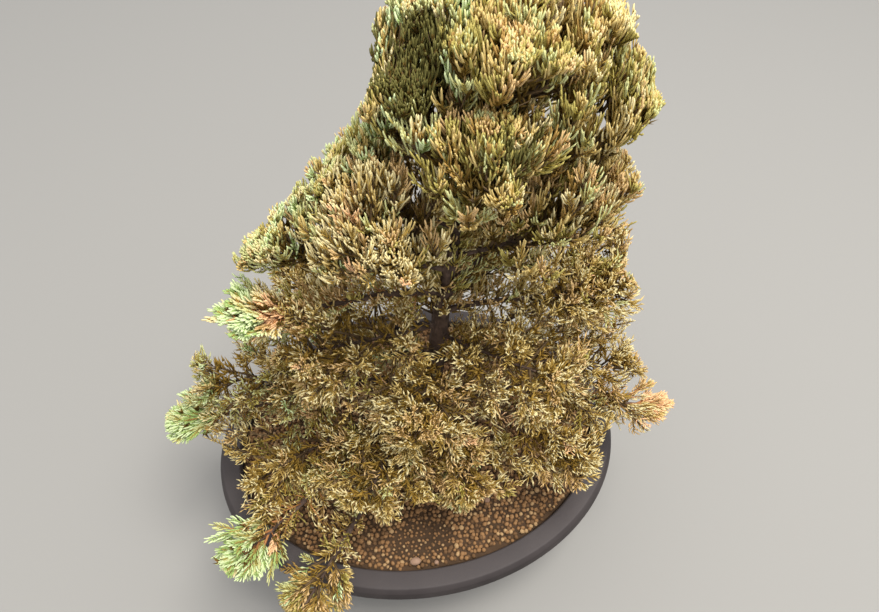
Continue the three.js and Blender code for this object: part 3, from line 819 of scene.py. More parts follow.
def straight_post(bm, sides, steps):
    circle = bmesh.ops.create_circle(bm, cap_ends=True, segments=sides, radius=1)["verts"]
    edges = circle[0].link_faces[0].edges[:]
    made = list(circle)
    for step in range(1, steps + 1):
        grown = bmesh.ops.extrude_edge_only(bm, edges=edges)["geom"]
        ring = [item for item in grown if isinstance(item, bmesh.types.BMVert)]
        grown_edges = [item for item in grown if isinstance(item, bmesh.types.BMEdge)]
        edges = [edge for edge in grown_edges if all(vert in ring for vert in edge.verts)]
        bmesh.ops.translate(bm, vec=(0, 0, 1 / steps), verts=ring)
        made += ring
    bmesh.ops.contextual_create(bm, geom=edges)
    return made


def bark_relief(angle, along):
    """Long strips and shorter knots, from noise that is read on a circle round the limb."""
    x, y = math.cos(angle), math.sin(angle)
    strips = noise.noise(Vector((STRIPS_ROUND * x, STRIPS_ROUND * y, along / STRIP_LENGTH)))
    knots = noise.noise(
        Vector((KNOTS_ROUND * x, KNOTS_ROUND * y, along / KNOT_LENGTH + KNOT_SHIFT)))
    return strips + KNOT_SHARE * knots


def add_limb(bm, path, radius_at, sides, steps, depth, flutes=0.0):
    verts = straight_post(bm, sides, steps)
    shares = np.linspace(0, 1, steps + 1)
    centres = path.at(shares)
    side, other = square_to(path.tangent(shares))
    for vert in verts:
        step = int(round(vert.co.z * steps))
        angle = math.atan2(vert.co.y, vert.co.x)
        along = step / steps * path.length
        radius = radius_at(step / steps)
        relief = depth * min(1, radius / BARK_FULL_FROM) * bark_relief(angle, along)
        ridge = flutes * math.exp(-along / FLUTE_FADE) * math.cos(FLUTES * angle + FLUTE_TURN)
        spoke = side[step] * math.cos(angle) + other[step] * math.sin(angle)
        vert.co = centres[step] + spoke * (radius + relief + ridge)


# %% [markdown]
# The trunk has more sides, deeper bark and the flutes. Boughs are thin, so twelve sides and a ring
# every few millimetres are enough. All limbs are modelled, and the short ones are hidden in leaves.

# %% Model the trunk and the boughs
FLUTE_DEPTH = 2.2
TRUNK_SIDES = 40
TRUNK_STEPS = 150
BOUGH_SIDES = 12
BOUGH_STEP = 6
FEWEST_STEPS = 6

trunk_mesh = bmesh.new()
add_limb(trunk_mesh, trunk_path, trunk_radius, TRUNK_SIDES, TRUNK_STEPS, BARK_DEPTH * 2, FLUTE_DEPTH)
place_limbs(trunk_mesh)

boughs_mesh = bmesh.new()
for mass in masses:
    steps = max(FEWEST_STEPS, int(mass.limb_length / BOUGH_STEP))
    add_limb(boughs_mesh, mass.limb, mass.limb_radius, BOUGH_SIDES, steps, BARK_DEPTH)
place_limbs(boughs_mesh)
print("trunk and limbs have", len(trunk_mesh.verts) + len(boughs_mesh.verts), "points")

# %% [markdown]
# Bark is a greyed red brown. Its pale and its dark come from the mottle, and a fine grain that is
# stretched upwards breaks up the light.

# %% Paint the bark
bark = new_material(
    "bark", 0.88,
    mottle=dict(First=(0.040, 0.023, 0.017, 1), Second=(0.130, 0.086, 0.066, 1),
                Scale=120.0, Contrast=0.15),
    grain=dict(Scale=700.0, Strength=0.8, Distance=0.0008, Stretch=(1, 1, 0.12)),
)
piece_from_bmesh(trunk_mesh, "trunk_bark", bark, ["trunk"])
bough_nodes = [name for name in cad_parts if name.startswith("bough_")]
piece_from_bmesh(boughs_mesh, "boughs_bark", bark, bough_nodes)

# %% [markdown]
# Foliage grows by the source's rule, carried further. Main twigs leave a mass's stem in a spiral by
# the golden angle, and twiglets leave each main twig's outer part in the same spiral. Fingers, the
# fine cords of scale leaves, stand along each twiglet to the left and right in turn. They start
# aside and soon turn parallel, upwards in the crown and outwards low down, which gives the plant its
# look of many small hands.
#
# Each kind of mass has its own habit. The first words are counts: of main twigs on a stem, twiglets
# on a main twig and fingers on a twiglet. Then come a finger's length and radius in millimetres, the
# angle at which fingers start, and how far their ends curl at random. How they end is set by rise,
# ahead and out: upwards, along the twiglet and away from the mass's middle. Sweep turns twigs up,
# bare is the part of a main twig without twiglets, spread and flat narrow a shoot, and taper makes
# it slimmer towards its tip. Fine fingers have a simpler sheath.

# %% How each kind of mass grows
COMMON = dict(fingers=12, spread=1.0, flat=1.0, taper=0, fine=False)
HABITS = {
    "upper": dict(COMMON, main=22, twiglets=9, finger=(11, 18), thick=0.73, wide=50, curl=0.09,
                  rise=1.25, ahead=0.2, out=0.08, sweep=0.36, bare=0.36),
    "middle": dict(COMMON, main=22, twiglets=9, finger=(10, 17), thick=0.72, wide=52, curl=0.15,
                   rise=1.0, ahead=0.35, out=0.15, sweep=0.28, bare=0.34),
    "lower": dict(COMMON, main=20, twiglets=10, finger=(7, 14), thick=0.72, wide=62, curl=0.38,
                  rise=0.5, ahead=0.65, out=0.3, sweep=0.08, bare=0.26, fine=True),
    "shoot": dict(COMMON, main=14, twiglets=8, finger=(6, 11), thick=0.85, wide=46, curl=0.12,
                  rise=0.12, ahead=1.2, out=0.2, sweep=0.0, bare=0.12, spread=0.66, flat=0.4,
                  taper=0.72),
    "orange": dict(COMMON, main=9, twiglets=7, fingers=11, finger=(5, 10), thick=0.62, wide=46,
                   curl=0.16, rise=0.1, ahead=1.4, out=0.2, sweep=0.0, bare=0.15, spread=0.55,
                   flat=0.4, taper=0.75),
    "hanging": dict(COMMON, main=13, twiglets=8, fingers=11, finger=(7, 14), thick=0.8, wide=50,
                    curl=0.26, rise=-0.1, ahead=1.0, out=0.4, sweep=0.0, bare=0.2, spread=0.8,
                    flat=0.8, taper=0.3, fine=True),
}
DENSER_MASSES = {
    "back_inner": 1.6, "upper_left": 1.45, "front_middle_left": 1.4, "upper_back": 1.4,
    "left_shoulder": 1.35, "right_middle": 1.3, "back_left": 1.3, "back_lower": 1.3,
    "back_middle": 1.3, "front_collar": 1.25, "back_lower_left": 1.2, "left_inner": 1.2,
    "left_lower": 1.15,
}
print("kinds of mass:", ", ".join(HABITS))

# %% [markdown]
# A shoot is a root, a direction, a length and a bend that pulls it aside as it gets longer. Shoots
# are kept as one array for each of these, because there are tens of thousands. Whatever would leave
# the crown is shortened in a few tries, and dropped if it still leaves it or is too short. All twigs
# lean out from what bears them in the same way: by a pitch, and round it by a turn.

# %% Shoots
OPEN_DENSITY = 0.06
DRY_DENSITY = 1.25
TRIES = 9
SHRINK = 0.85
FULL_TURN = 2 * math.pi


def point_on(shoot, share):
    roots, directions, lengths, bends = shoot[:4]
    return roots + (directions * share + bends * share * share) * lengths[:, None]


def along_shoot(parents, which, shares):
    """Points and headings at the given shares of some of the parent shoots."""
    chosen = [part[which] for part in parents[:4]]
    s = shares[:, None]
    return point_on(chosen, s), unit(chosen[1] + 2 * chosen[3] * s)


def fitted(space, shoot, shortest, stretch=1.0):
    for _ in range(TRIES):
        inside = space.contains(point_on(shoot, 1), stretch)
        shoot[2] = np.where(inside, shoot[2], shoot[2] * SHRINK)
    kept = inside & (shoot[2] > shortest)
    return [part[kept] for part in shoot]


def where_dense(shoot, least, lowest=LOWEST_LEAF):
    """Keeps shoots that end above the rim, where the crown is at least so dense."""
    tips = point_on(shoot, 1)
    kept = (tips[:, 2] > lowest) & (crown_density(tips) >= least)
    return [part[kept] for part in shoot]


def lean_out(ahead, pitch, turn, flat, lift):
    side, other = square_to(ahead)
    pitch, turn = pitch[:, None], turn[:, None]
    around = side * np.cos(turn) + other * np.sin(turn) * flat
    return unit(ahead * np.cos(pitch) + np.sin(pitch) * around + UP * lift)


def each_of(parents, count):
    """For a count of shoots on each parent: which parent bears it, and its place there."""
    return np.repeat(np.arange(len(parents[0])), count), np.tile(np.arange(count), len(parents[0]))


# %% [markdown]
# Main twigs follow the source's spiral and its drawn numbers, but there are more of them. The source
# draws three numbers for each twig, and the third, which rolls the twig's spray, isn't used here. The
# stem's own tip counts as one more twig. On a shoot it isn't cut short, so the shoot keeps its reach.

# %% Main twigs
TWIG_OFFSET = 0.4
STEM_END = 0.99
MAIN_PITCHES = (0.5, 1.35)
MAIN_REACH = (0.5, 1.0)
MAIN_WANDER = 0.08
LIFT_BEND = 0.2
SHORTEST_TWIG = 6


def main_twigs(mass, habit, random):
    count = round(habit["main"] * DENSER_MASSES.get(mass.name, 1))
    numbers = seeded(mass.seed)
    draws = np.array([next(numbers) for _ in range(3 * count)]).reshape(count, 3)
    order = np.arange(count)
    along = (order + TWIG_OFFSET + TWIG_OFFSET * draws[:, 0]) / count
    turn = order * GOLDEN_ANGLE + draws[:, 1]
    pitch = TWIG_PITCH * habit["spread"] * random.uniform(*MAIN_PITCHES, count)
    lift = mass.lift * LIFT_TURN
    directions = lean_out(mass.stem.tangent(along), pitch, turn, habit["flat"], lift)
    roots = np.vstack([mass.stem.at(along), mass.stem.at(STEM_END)])
    directions = np.vstack([directions, mass.stem.tangent(STEM_END)])
    lengths = mass.space.open_reach(roots, directions) * random.uniform(*MAIN_REACH, count + 1)
    lengths *= 1 - habit["taper"] * np.append(along, 0)
    if not mass.dense:
        lengths[-1] = mass.space.open_reach(roots[-1:], directions[-1:])[0]
    wander = random.normal(0, MAIN_WANDER, (count + 1, 3))
    bends = UP * (mass.lift * LIFT_BEND + habit["sweep"]) + wander
    return fitted(mass.space, [roots, directions, lengths, bends], SHORTEST_TWIG)


# %% [markdown]
# Limbs aren't bare. Short twigs grow on them like the bristles of a bottle brush: leafy ones on the
# boughs and on the trunk's upper part, dry ones on the inner limbs and the stems.

# %% Twigs along a limb
LIMB_BARE = 0.12
LIMB_TWIG_EVERY = 2.5
LIMB_TWIGS = (14, 31)
LOWER_BELOW = 280
DRY_TWIG_EVERY = 3.4
DRY_TWIGS = (12, 28)
TRUNK_TWIG_EVERY = 1.7
TRUNK_TWIGS_FROM = 305
BRISTLE_PITCHES = (35, 80)
BRISTLE_LEAN = 0.25
BRISTLE_WANDER = 0.1


def bristles(path, begin, every, lengths, least, random):
    count = int((1 - begin) * path.length / every)
    order = np.arange(count)
    along = begin + (1 - begin) * (order + random.uniform(0, 1, count)) / max(count, 1)
    roots = path.at(along).reshape(-1, 3)
    ahead = path.tangent(along).reshape(-1, 3)
    pitch = np.radians(random.uniform(*BRISTLE_PITCHES, count))
    heading = lean_out(ahead, pitch, order * GOLDEN_ANGLE, 1.0, BRISTLE_LEAN)
    wanted = random.uniform(*lengths, count)
    bends = UP * BRISTLE_LEAN / 2 + random.normal(0, BRISTLE_WANDER, (count, 3))
    twigs = [roots, heading, wanted, bends, np.ones(count)]
    return where_dense(twigs, least, LOWEST_LEAF + LIMB_TWIGS[0])


# %% [markdown]
# Twiglets are short: a fixed length and a share of the main twig's. The last one goes on almost
# straight from the main twig's tip. High in the crown they turn up more than the main twigs do.

# %% Twiglets
TWIGLET_PITCH = 46
TWIGLET_PITCHES = (0.7, 1.25)
TIP_PITCH = 0.1
TWIGLET_LIFT = 0.45
TWIGLET_SHARE = 0.18
TWIGLET_LEAST = 10
TWIGLET_LENGTHS = (0.7, 1.3)
TWIGLET_WANDER = 0.07
FINGER_REACH = 1.03


def side_twigs(parents, habit, mass, random):
    count = habit["twiglets"]
    parent, order = each_of(parents, count)
    along = habit["bare"] + (1 - habit["bare"]) * (order + 1) / count
    points, ahead = along_shoot(parents, parent, along)
    turn = order * GOLDEN_ANGLE + random.uniform(0, FULL_TURN, len(parents[0]))[parent]
    pitches = random.uniform(*TWIGLET_PITCHES, len(parent))
    pitch = np.radians(TWIGLET_PITCH) * habit["spread"] * pitches
    pitch = np.where(order == count - 1, TIP_PITCH, pitch)
    lift = mass.lift * TWIGLET_LIFT + habit["sweep"]
    heading = lean_out(ahead, pitch, turn, habit["flat"], lift)
    grown = parents[2][parent] * TWIGLET_SHARE * random.uniform(*TWIGLET_LENGTHS, len(parent))
    wander = random.normal(0, TWIGLET_WANDER, (len(parent), 3))
    bends = UP * (mass.lift * LIFT_BEND + habit["sweep"] / 2) + wander
    twiglets = [points, heading, grown + TWIGLET_LEAST, bends, along]
    return fitted(mass.space, twiglets, SHORTEST_TWIG, FINGER_REACH)


# %% [markdown]
# Fingers stand in a fan on each twiglet. Each starts aside, and its bend is half of what lies between
# its first heading and its last, so it ends parallel to its neighbours. Those near the twiglet's tip
# are shorter, and the last one goes on from the tip.

# %% Fingers
FAN_ROLL = 0.45
FAN_START = 0.1
FAN_ANGLES = (0.6, 1.25)
TIP_ANGLE = 0.08
LONGEST_SHARE = 1.12
SHORTER_TO_TIP = 0.3
SHORTEST_FINGER = 3.5


def fingers_on(parents, habit, mass, random, count, least=None):
    parent, order = each_of(parents, count)
    along = FAN_START + (1 - FAN_START) * (order + 1) / count
    points, ahead = along_shoot(parents, parent, along)
    side, other = square_to(ahead)
    turned = FAN_ROLL * habit["flat"]
    roll = random.normal(0, turned, len(parents[0]))[parent] + random.normal(0, turned, len(parent))
    fan = side * np.cos(roll)[:, None] + other * np.sin(roll)[:, None]
    fan = fan * np.where(order % 2 == 0, 1, -1)[:, None]
    angle = np.radians(habit["wide"]) * random.uniform(*FAN_ANGLES, len(parent))
    angle = np.where(order == count - 1, TIP_ANGLE, angle)[:, None]
    first = unit(ahead * np.cos(angle) + fan * np.sin(angle))
    outward = unit((points - mass.space.middle) / mass.space.half)
    bundle = unit(UP * habit["rise"] + ahead * habit["ahead"] + outward * habit["out"])
    last = unit(bundle + random.normal(0, habit["curl"], (len(parent), 3)))
    wanted = random.uniform(*habit["finger"], len(parent)) * (LONGEST_SHARE - SHORTER_TO_TIP * along)
    fingers = [points, first, wanted, (last - first) / 2, parent]
    if least is None:
        return fitted(mass.space, fingers, SHORTEST_FINGER, FINGER_REACH)
    return where_dense(fingers, least)


# %% [markdown]
# A finger is a dark three-sided spike in a paler sheath, which swells out of it and covers it
# towards the tip. Fingers of one tint are worked out together as one array of points, because a
# loop over each of them would take minutes. The same function makes the woody twigs. Shares say
# where along the shoot a tube has its rings, and swells how wide each ring is.

# %% Turn shoots into tubes
SPIKE_RINGS = dict(shares=(0,), swells=(0.9,))
SPIKE_END = 0.75
SHEATH_RINGS = dict(shares=(0.4, 0.86), swells=(1.0, 0.85))
FINE_RINGS = dict(shares=(0.6,), swells=(1.05,))
SHEATH_START = 0.1
PLAIN_RINGS = dict(shares=(0,), swells=(1.0,))
TWIG_RINGS = dict(shares=(0, 0.6), swells=(1.0, 0.7))


def tube_faces(rings, sides):
    faces = []
    for ring in range(rings - 1):
        for j in range(sides):
            a, b = ring * sides + j, ring * sides + (j + 1) % sides
            faces += [(a, b, b + sides), (a, b + sides, a + sides)]
    tip = rings * sides
    last = (rings - 1) * sides
    faces += [(last + j, last + (j + 1) % sides, tip) for j in range(sides)]
    faces += [(0, j + 1, j) for j in range(1, sides - 1)]
    return np.array(faces)


def tubes(shoot, radii, phase, sides, shares, swells, end=1.0):
    """Points and faces of closed tubes, each with a ring at every share and a point at its end."""
    _, directions, _, bends = shoot[:4]
    centres = np.stack([point_on(shoot, share) for share in shares], axis=1)
    heading = unit(directions[:, None] + 2 * bends[:, None] * np.array(shares)[None, :, None])
    first_side, _ = square_to(heading[:, :1])
    other = unit(np.cross(first_side, heading))
    side = unit(np.cross(heading, other))
    angles = (FULL_TURN * np.arange(sides) / sides)[None, None, :, None] + phase[:, None, None, None]
    spokes = side[:, :, None] * np.cos(angles) + other[:, :, None] * np.sin(angles)
    widths = radii[:, None] * np.array(swells)[None, :]
    rings = centres[:, :, None] + spokes * widths[:, :, None, None]
    count = len(directions)
    rings = rings.reshape(count, len(shares) * sides, 3)
    points = np.concatenate([rings, point_on(shoot, end)[:, None]], axis=1)
    faces = tube_faces(len(shares), sides)[None] + (np.arange(count) * points.shape[1])[:, None, None]
    return points.reshape(-1, 3), faces.reshape(-1, 3)


def sheaths(shoot, radii, phase, rings):
    """Tubes whose lower end runs out to a point inside the finger's spike."""
    points, _ = tubes(shoot, radii, phase, 3, **rings)
    count, foot = len(radii), 3 * len(rings["shares"]) + 1
    points = points.reshape(count, foot, 3)
    points = np.concatenate([points, point_on(shoot, SHEATH_START)[:, None]], axis=1)
    lower_end = [(1, 0, foot), (2, 1, foot), (0, 2, foot)]
    one = np.vstack([tube_faces(len(rings["shares"]), 3)[:-1], lower_end])
    faces = one[None] + (np.arange(count) * (foot + 1))[:, None, None]
    return points.reshape(-1, 3), faces.reshape(-1, 3)


print("triangles in a spike:", len(tube_faces(1, 3)), "and in its sheath:", len(tube_faces(2, 3)) + 2)

# %% [markdown]
# Leaf tints. The plant has browned: straw and tan over olive, with grey-green left on the upper
# fingers, most of it to the left, pale mint and bright green on the youngest shoots, and salmon near
# their feet. Most fingers have a spike of a darker tint than their sheath, partly the older growth's
# own colour and partly painted shade at the fingers' feet. The colours are plain.

# %% Leaf tints
LEAF_TINTS = {
    "pale_straw": (0.80, 0.70, 0.39),
    "straw": (0.67, 0.52, 0.21),
    "bronze": (0.43, 0.29, 0.068),
    "olive": (0.47, 0.405, 0.12),
    "dark_olive": (0.28, 0.215, 0.035),
    "grey_green": (0.62, 0.64, 0.31),
    "tan": (0.70, 0.49, 0.235),
    "brown": (0.42, 0.265, 0.078),
    "salmon": (0.96, 0.62, 0.35),
    "mint": (0.68, 0.80, 0.46),
    "green": (0.40, 0.54, 0.19),
    # Painted shade: the dark tint of fingers deep in the crown's hollows.
    "shade": (0.14, 0.128, 0.034),
    "dry_gold": (0.34, 0.215, 0.040),
    # Dead inner growth, made darker than it is as painted shade inside the crown.
    "deep_brown_and_shade": (0.13, 0.080, 0.012),
}
# A spike's darker tint is partly older growth and partly painted shade at the finger's foot.
SPIKE_OF = {
    "pale_straw": "bronze", "straw": "bronze", "olive": "dark_olive", "grey_green": "olive",
    "tan": "brown", "brown": "dry_gold", "salmon": "salmon", "mint": "green", "green": "olive",
    "shade": "deep_brown_and_shade",
}
print(len(LEAF_TINTS), "leaf tints")

# %% [markdown]
# Each twiglet with all its fingers gets one tint, dealt by seeded chance from its mass's mix. Some
# masses are greener, duller or paler than others of their kind, and three of the young shoots have
# another mix near their foot. The paler mix is partly a creamier leaf colour and partly painted
# light, for masses in the shade of those above them. In two deep hollows of the crown, twiglets take
# the dark shade tint, painted shade, the more often the deeper they lie.

# %% Deal the tints
MIXES = {
    "upper": dict(pale_straw=0.21, straw=0.30, olive=0.21, grey_green=0.16, tan=0.08, brown=0.04),
    "greener": dict(pale_straw=0.18, straw=0.13, olive=0.12, grey_green=0.38, tan=0.06, mint=0.13),
    "duller": dict(pale_straw=0.06, straw=0.22, olive=0.30, grey_green=0.20, tan=0.10, brown=0.12),
    "middle": dict(pale_straw=0.22, straw=0.26, olive=0.15, grey_green=0.09, tan=0.22, brown=0.06),
    "lower": dict(pale_straw=0.32, straw=0.28, olive=0.07, grey_green=0.04, tan=0.25, brown=0.03,
                  salmon=0.01),
    # Partly a creamier leaf colour and partly painted light, for masses in the shade of those above.
    "paler_with_painted_light": dict(pale_straw=0.50, straw=0.22, olive=0.02, tan=0.24, salmon=0.02),
    "shoot": dict(mint=0.50, pale_straw=0.08, green=0.20, grey_green=0.22),
    "shoot_foot": dict(salmon=0.56, pale_straw=0.34, tan=0.10),
    "orange": dict(salmon=0.40, pale_straw=0.20, tan=0.30, straw=0.10),
    "orange_foot": dict(pale_straw=0.30, tan=0.36, straw=0.34),
    "hanging": dict(tan=0.24, straw=0.28, brown=0.08, olive=0.16, grey_green=0.12, mint=0.12),
}
OTHER_MIXES = {
    "greener": ("upper_left", "left_shoulder", "left_high", "left_middle", "left_lower"),
    "duller": ("top", "upper_front", "front_collar"),
    # These masses get the paler mix, partly painted light where the masses above shade them.
    "paler_with_painted_light": ("right_lower", "front_lower_right", "front_middle_right", "front_middle",
              "front_middle_left", "left_inner"),
}
MIX_OF = {mass_name: mix for mix, mass_names in OTHER_MIXES.items() for mass_name in mass_names}
FOOT_SHARES = {"left_long_shoot": 0.5, "green_shoot": 0.25, "orange_shoot": 0.5}
HOLLOWS = [((8, -26, 530), 28), ((57, -66, 506), 12)]
SHADE_FALL = 2.6


def deal(mix_name, count, random):
    mix = MIXES[mix_name]
    shares = np.array(list(mix.values())) / sum(mix.values())
    return random.choice(np.array(list(mix)), count, p=shares)


def hollow_depth(points):
    """From 1 in the middle of a hollow to 0 at its edge, and below 0 outside."""
    far = [np.linalg.norm(points - np.array(middle), axis=1) / radius for middle, radius in HOLLOWS]
    return 1 - np.min(far, axis=0)


def tints_for(mass, starts, random):
    """One tint for each twiglet of a mass."""
    main = deal(MIX_OF.get(mass.name, mass.habit), len(starts), random)
    # Twiglets deep in a hollow take the shade tint, which is painted shade.
    shaded = random.uniform(0, 1, len(starts)) < SHADE_FALL * hollow_depth(starts)
    main = np.where(shaded, "shade", main)
    if mass.name not in FOOT_SHARES or len(starts) == 0:
        return main
    foot = deal(mass.habit + "_foot", len(starts), random)
    far = (starts - mass.stem.at(0)) @ unit(mass.stem.at(1) - mass.stem.at(0))
    return np.where(far < FOOT_SHARES[mass.name] * far.max(), foot, main)


print(len(MIX_OF), "masses have another mix than their kind")

# %% [markdown]
# Deep inside a mass, and in a few pockets near its surface, twiglets are short and their fingers are
# dry: fewer, and one thick dark tube each. Deep inside, this is dead growth, darkened further as
# painted shade; in the pockets it is painted shade alone, the dark gaps between sprays. All other
# fingers are leafy: a spike in its sheath. Tubes are gathered by tint, and the twigs that bear them
# are kept for later.

# %% Lay down fingers
INNER_SHARE = 0.5
POCKET_SIZE = 26
POCKET_LEVEL = 0.38
POCKET_DEPTH = 0.5
DRY_THICKER = 1.8
DRY_FINGERS = 6
THICKNESSES = (0.85, 1.15)
tubes_by_tint = {tint: [] for tint in LEAF_TINTS}
laid = {"leafy": 0, "dry_and_shade": 0}


# Pockets near a mass's surface, where dark dry fingers are painted shade for the gaps between sprays.
def in_shade_pocket(points):
    return np.array([noise.noise(Vector(point / POCKET_SIZE)) > POCKET_LEVEL for point in points], bool)


def lay_dry_and_shade(fingers, habit, random):
    radii = habit["thick"] * DRY_THICKER * random.uniform(*THICKNESSES, len(fingers[0]))
    phase = random.uniform(0, FULL_TURN, len(radii))
    # The dark dry tints are partly dead growth and partly painted shade inside the crown.
    tint = "dry_gold" if habit["fine"] else "deep_brown_and_shade"
    tubes_by_tint[tint].append(tubes(fingers, radii, phase, 3, **PLAIN_RINGS))
    laid["dry_and_shade"] += len(radii)


def lay_sheathed(fingers, names, habit, random):
    radii = habit["thick"] * random.uniform(*THICKNESSES, len(names))
    phase = random.uniform(0, FULL_TURN, len(names))
    rings = FINE_RINGS if habit["fine"] else SHEATH_RINGS
    for name in np.unique(names):
        kept = [part[names == name] for part in fingers]
        wide, turned = radii[names == name], phase[names == name]
        spikes = tubes(kept, wide, turned, 3, **SPIKE_RINGS, end=SPIKE_END)
        tubes_by_tint[SPIKE_OF[name]].append(spikes)
        tubes_by_tint[name].append(sheaths(kept, wide, turned, rings))
    laid["leafy"] += len(names)


def lay_leafy(twiglets, kind, mass, random, least=None):
    """Leafy fingers on twiglets. Twigs of another kind than their mass get that kind's own mix."""
    habit = HABITS[kind]
    *fingers, owner = fingers_on(twiglets, habit, mass, random, habit["fingers"], least)
    if kind == mass.habit:
        tints = tints_for(mass, twiglets[0], random)
    else:
        tints = deal(kind, len(twiglets[0]), random)
    lay_sheathed(fingers, tints[owner], habit, random)


def grow(mass):
    """Lays down a mass's fingers. Returns its habit's name, its main twigs and all its twiglets."""
    random = np.random.default_rng(mass.seed)
    habit = HABITS[mass.habit]
    mains = main_twigs(mass, habit, random)
    on_mains = side_twigs(mains, habit, mass, random)
    every = LIMB_TWIG_EVERY if mass.is_bough else DRY_TWIG_EVERY
    least = OPEN_DENSITY if mass.is_bough else DRY_DENSITY
    on_limb = bristles(mass.limb, LIMB_BARE, every, LIMB_TWIGS, least, random)
    on_stem = bristles(mass.stem, 0.0, DRY_TWIG_EVERY, DRY_TWIGS, DRY_DENSITY, random)
    ends = on_mains[0] + on_mains[1] * on_mains[2][:, None]
    # Inner twiglets are dead growth darkened as painted shade; twiglets in pockets are painted shade.
    dry_and_shade = mass.dense & ((on_mains[4] < INNER_SHARE) | in_shade_pocket(ends))
    on_mains[2] = np.where(dry_and_shade, on_mains[2] * POCKET_DEPTH, on_mains[2])
    lay_leafy([part[~dry_and_shade] for part in on_mains], mass.habit, mass, random)
    dry_twigs = [[part[dry_and_shade] for part in on_mains], on_stem]
    if mass.is_bough:
        lay_leafy(on_limb, "middle" if mass.start > LOWER_BELOW else "lower", mass, random, OPEN_DENSITY)
    else:
        dry_twigs.append(on_limb)
    for twiglets in dry_twigs:
        lay_dry_and_shade(fingers_on(twiglets, habit, mass, random, DRY_FINGERS, DRY_DENSITY), habit, random)
    return mass.habit, mains, [np.concatenate(group) for group in zip(on_mains, on_limb, on_stem)]


# %% [markdown]
# Each mass has its own seed, so a change to how one grows leaves the others as they are. The trunk's
# upper part shows between the masses, so it carries short leafy twigs of its own.

# %% Grow the masses and the trunk's own twigs
wood = [grow(mass) for mass in masses]

random = np.random.default_rng(7)
trunk_from = np.interp(TRUNK_TWIGS_FROM, trunk_path.points[:, 2], trunk_path.shares)
on_trunk = bristles(trunk_path, trunk_from, TRUNK_TWIG_EVERY, DRY_TWIGS, OPEN_DENSITY, random)
lay_leafy(on_trunk, "middle", masses[0], random, OPEN_DENSITY)
wood.append(("middle", [part[:0] for part in on_trunk], on_trunk))
print(laid["leafy"], "leafy fingers and", laid["dry_and_shade"], "dry ones")

# %% [markdown]
# The leaves are laid down tint by tint, and each tint makes one piece. A tint that needed more
# triangles than the limit below would be dealt into several, so that each stays easy to handle.

# %% Lay down the leaves
MOST_TRIANGLES = 190_000
foliage_nodes = [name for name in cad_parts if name.startswith("foliage_")]


def joined(parts):
    """One set of points and faces from several."""
    starts = np.cumsum([0] + [len(points) for points, _ in parts[:-1]])
    points = np.vstack([points for points, _ in parts])
    return points, np.vstack([faces + start for (_, faces), start in zip(parts, starts)])


def in_batches(parts):
    batches, size = [[]], 0
    for part in parts:
        if size + len(part[1]) > MOST_TRIANGLES:
            batches.append([])
            size = 0
        batches[-1].append(part)
        size += len(part[1])
    return batches


for tint_name, parts in tubes_by_tint.items():
    leaf = new_material("leaf_" + tint_name, 0.62, colour=LEAF_TINTS[tint_name], gloss=DULL_GLOSS,
                        grain=dict(Scale=1400.0, Strength=0.45, Distance=0.0005))
    for number, batch in enumerate(in_batches(parts), 1):
        points, faces = joined(batch)
        piece_from_arrays(to_pot(points), faces, f"leaves_{tint_name}_{number}", leaf, foliage_nodes)

# %% [markdown]
# Inside each mass the woody parts carry on from the limbs: the stem, the main twigs and the
# twiglets. Twigs are brown on most of the plant, and orange on the long young shoots. Main twigs have
# four sides and one more ring than twiglets. Stems are limbs like any other, in the same bark.

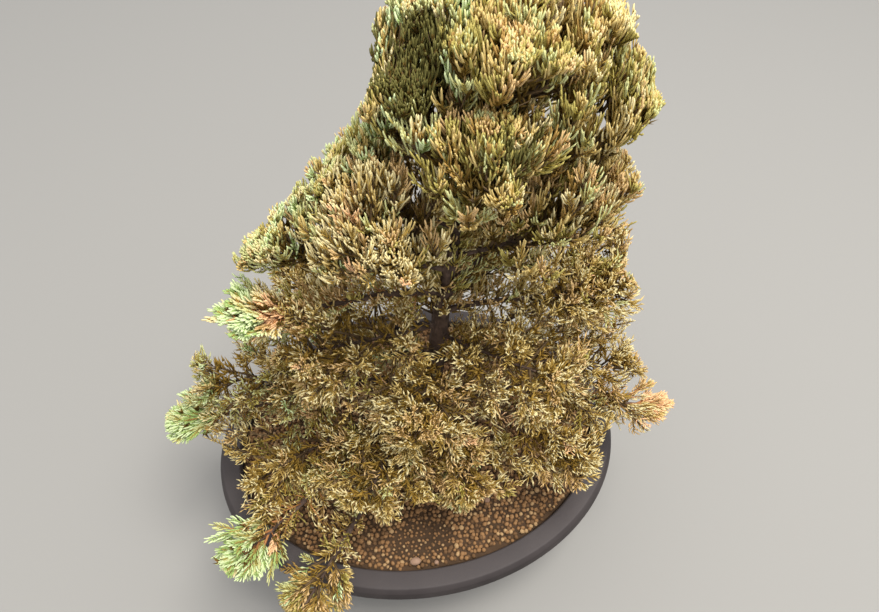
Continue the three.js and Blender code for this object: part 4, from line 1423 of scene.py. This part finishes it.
# %% Grow the twigs
TWIG_TINTS = {
    "twigs_brown": ((0.125, 0.078, 0.034), ("lower", "upper", "middle", "hanging")),
    "twigs_orange": ((0.50, 0.23, 0.085), ("shoot", "orange")),
}
TWIG_FORMS = [
    dict(radius=1.25, sides=4, rings=TWIG_RINGS),
    dict(radius=0.9, sides=3, rings=PLAIN_RINGS),
]
for piece_name, (tint, kinds) in TWIG_TINTS.items():
    parts = []
    for kind, *shoot_sets in wood:
        if kind in kinds:
            for shoot, form in zip(shoot_sets, TWIG_FORMS):
                radii = np.full(len(shoot[0]), form["radius"])
                parts.append(tubes(shoot, radii, np.zeros(len(radii)), form["sides"], **form["rings"]))
    twig_bark = new_material(piece_name, 0.8, colour=tint,
                             grain=dict(Scale=1200.0, Strength=0.5, Distance=0.0005))
    points, faces = joined(parts)
    piece_from_arrays(to_pot(points), faces, piece_name, twig_bark, foliage_nodes)

STEM_SIDES = 8
STEM_STEPS = 10
stems_mesh = bmesh.new()
for mass in masses:
    add_limb(stems_mesh, mass.stem, stem_radius, STEM_SIDES, STEM_STEPS, BARK_DEPTH)
place_limbs(stems_mesh)
piece_from_bmesh(stems_mesh, "stems_bark", bark, foliage_nodes)

# %% [markdown]
# The set is a plain pale floor under soft light. A wide, warm lamp stands high over the tree, a
# little to the right and towards the viewer, and the pale world fills the shade from all round.

# %% Floor and lights
FLOOR_HALF = 6.0
KEY_PLACE = Vector((0.70, -0.50, 2.90))
KEY_TARGET = Vector((0.0, 0.0, 0.3))
KEY_WATTS = 88
KEY_SIZE = 1.2
WORLD_STRENGTH = 1.04

floor_mesh = bmesh.new()
bmesh.ops.create_grid(floor_mesh, x_segments=2, y_segments=2, size=FLOOR_HALF)
floor_data = bpy.data.meshes.new("floor")
floor_mesh.to_mesh(floor_data)
floor_mesh.free()
floor_data.materials.append(new_material("floor_paint", 0.85, colour=(0.30, 0.299, 0.296)))
floor = bpy.data.objects.new("floor", floor_data)
bpy.context.scene.collection.objects.link(floor)

key_data = bpy.data.lights.new("key", "AREA")
key_data.energy = KEY_WATTS
key_data.size = KEY_SIZE
key_data.color = (1.0, 0.95, 0.86)
key = bpy.data.objects.new("key", key_data)
key.location = KEY_PLACE
key.rotation_euler = (KEY_TARGET - KEY_PLACE).to_track_quat("-Z", "Y").to_euler()
bpy.context.scene.collection.objects.link(key)

world = bpy.data.worlds.new("world")
bpy.context.scene.world = world
world.use_nodes = True
backdrop = world.node_tree.nodes["Background"]
backdrop.inputs["Color"].default_value = (1.0, 0.98, 0.95, 1)
backdrop.inputs["Strength"].default_value = WORLD_STRENGTH
bpy.context.scene.view_settings.view_transform = "Standard"
print("key light", round((KEY_TARGET - KEY_PLACE).length, 2), "m from the tree")
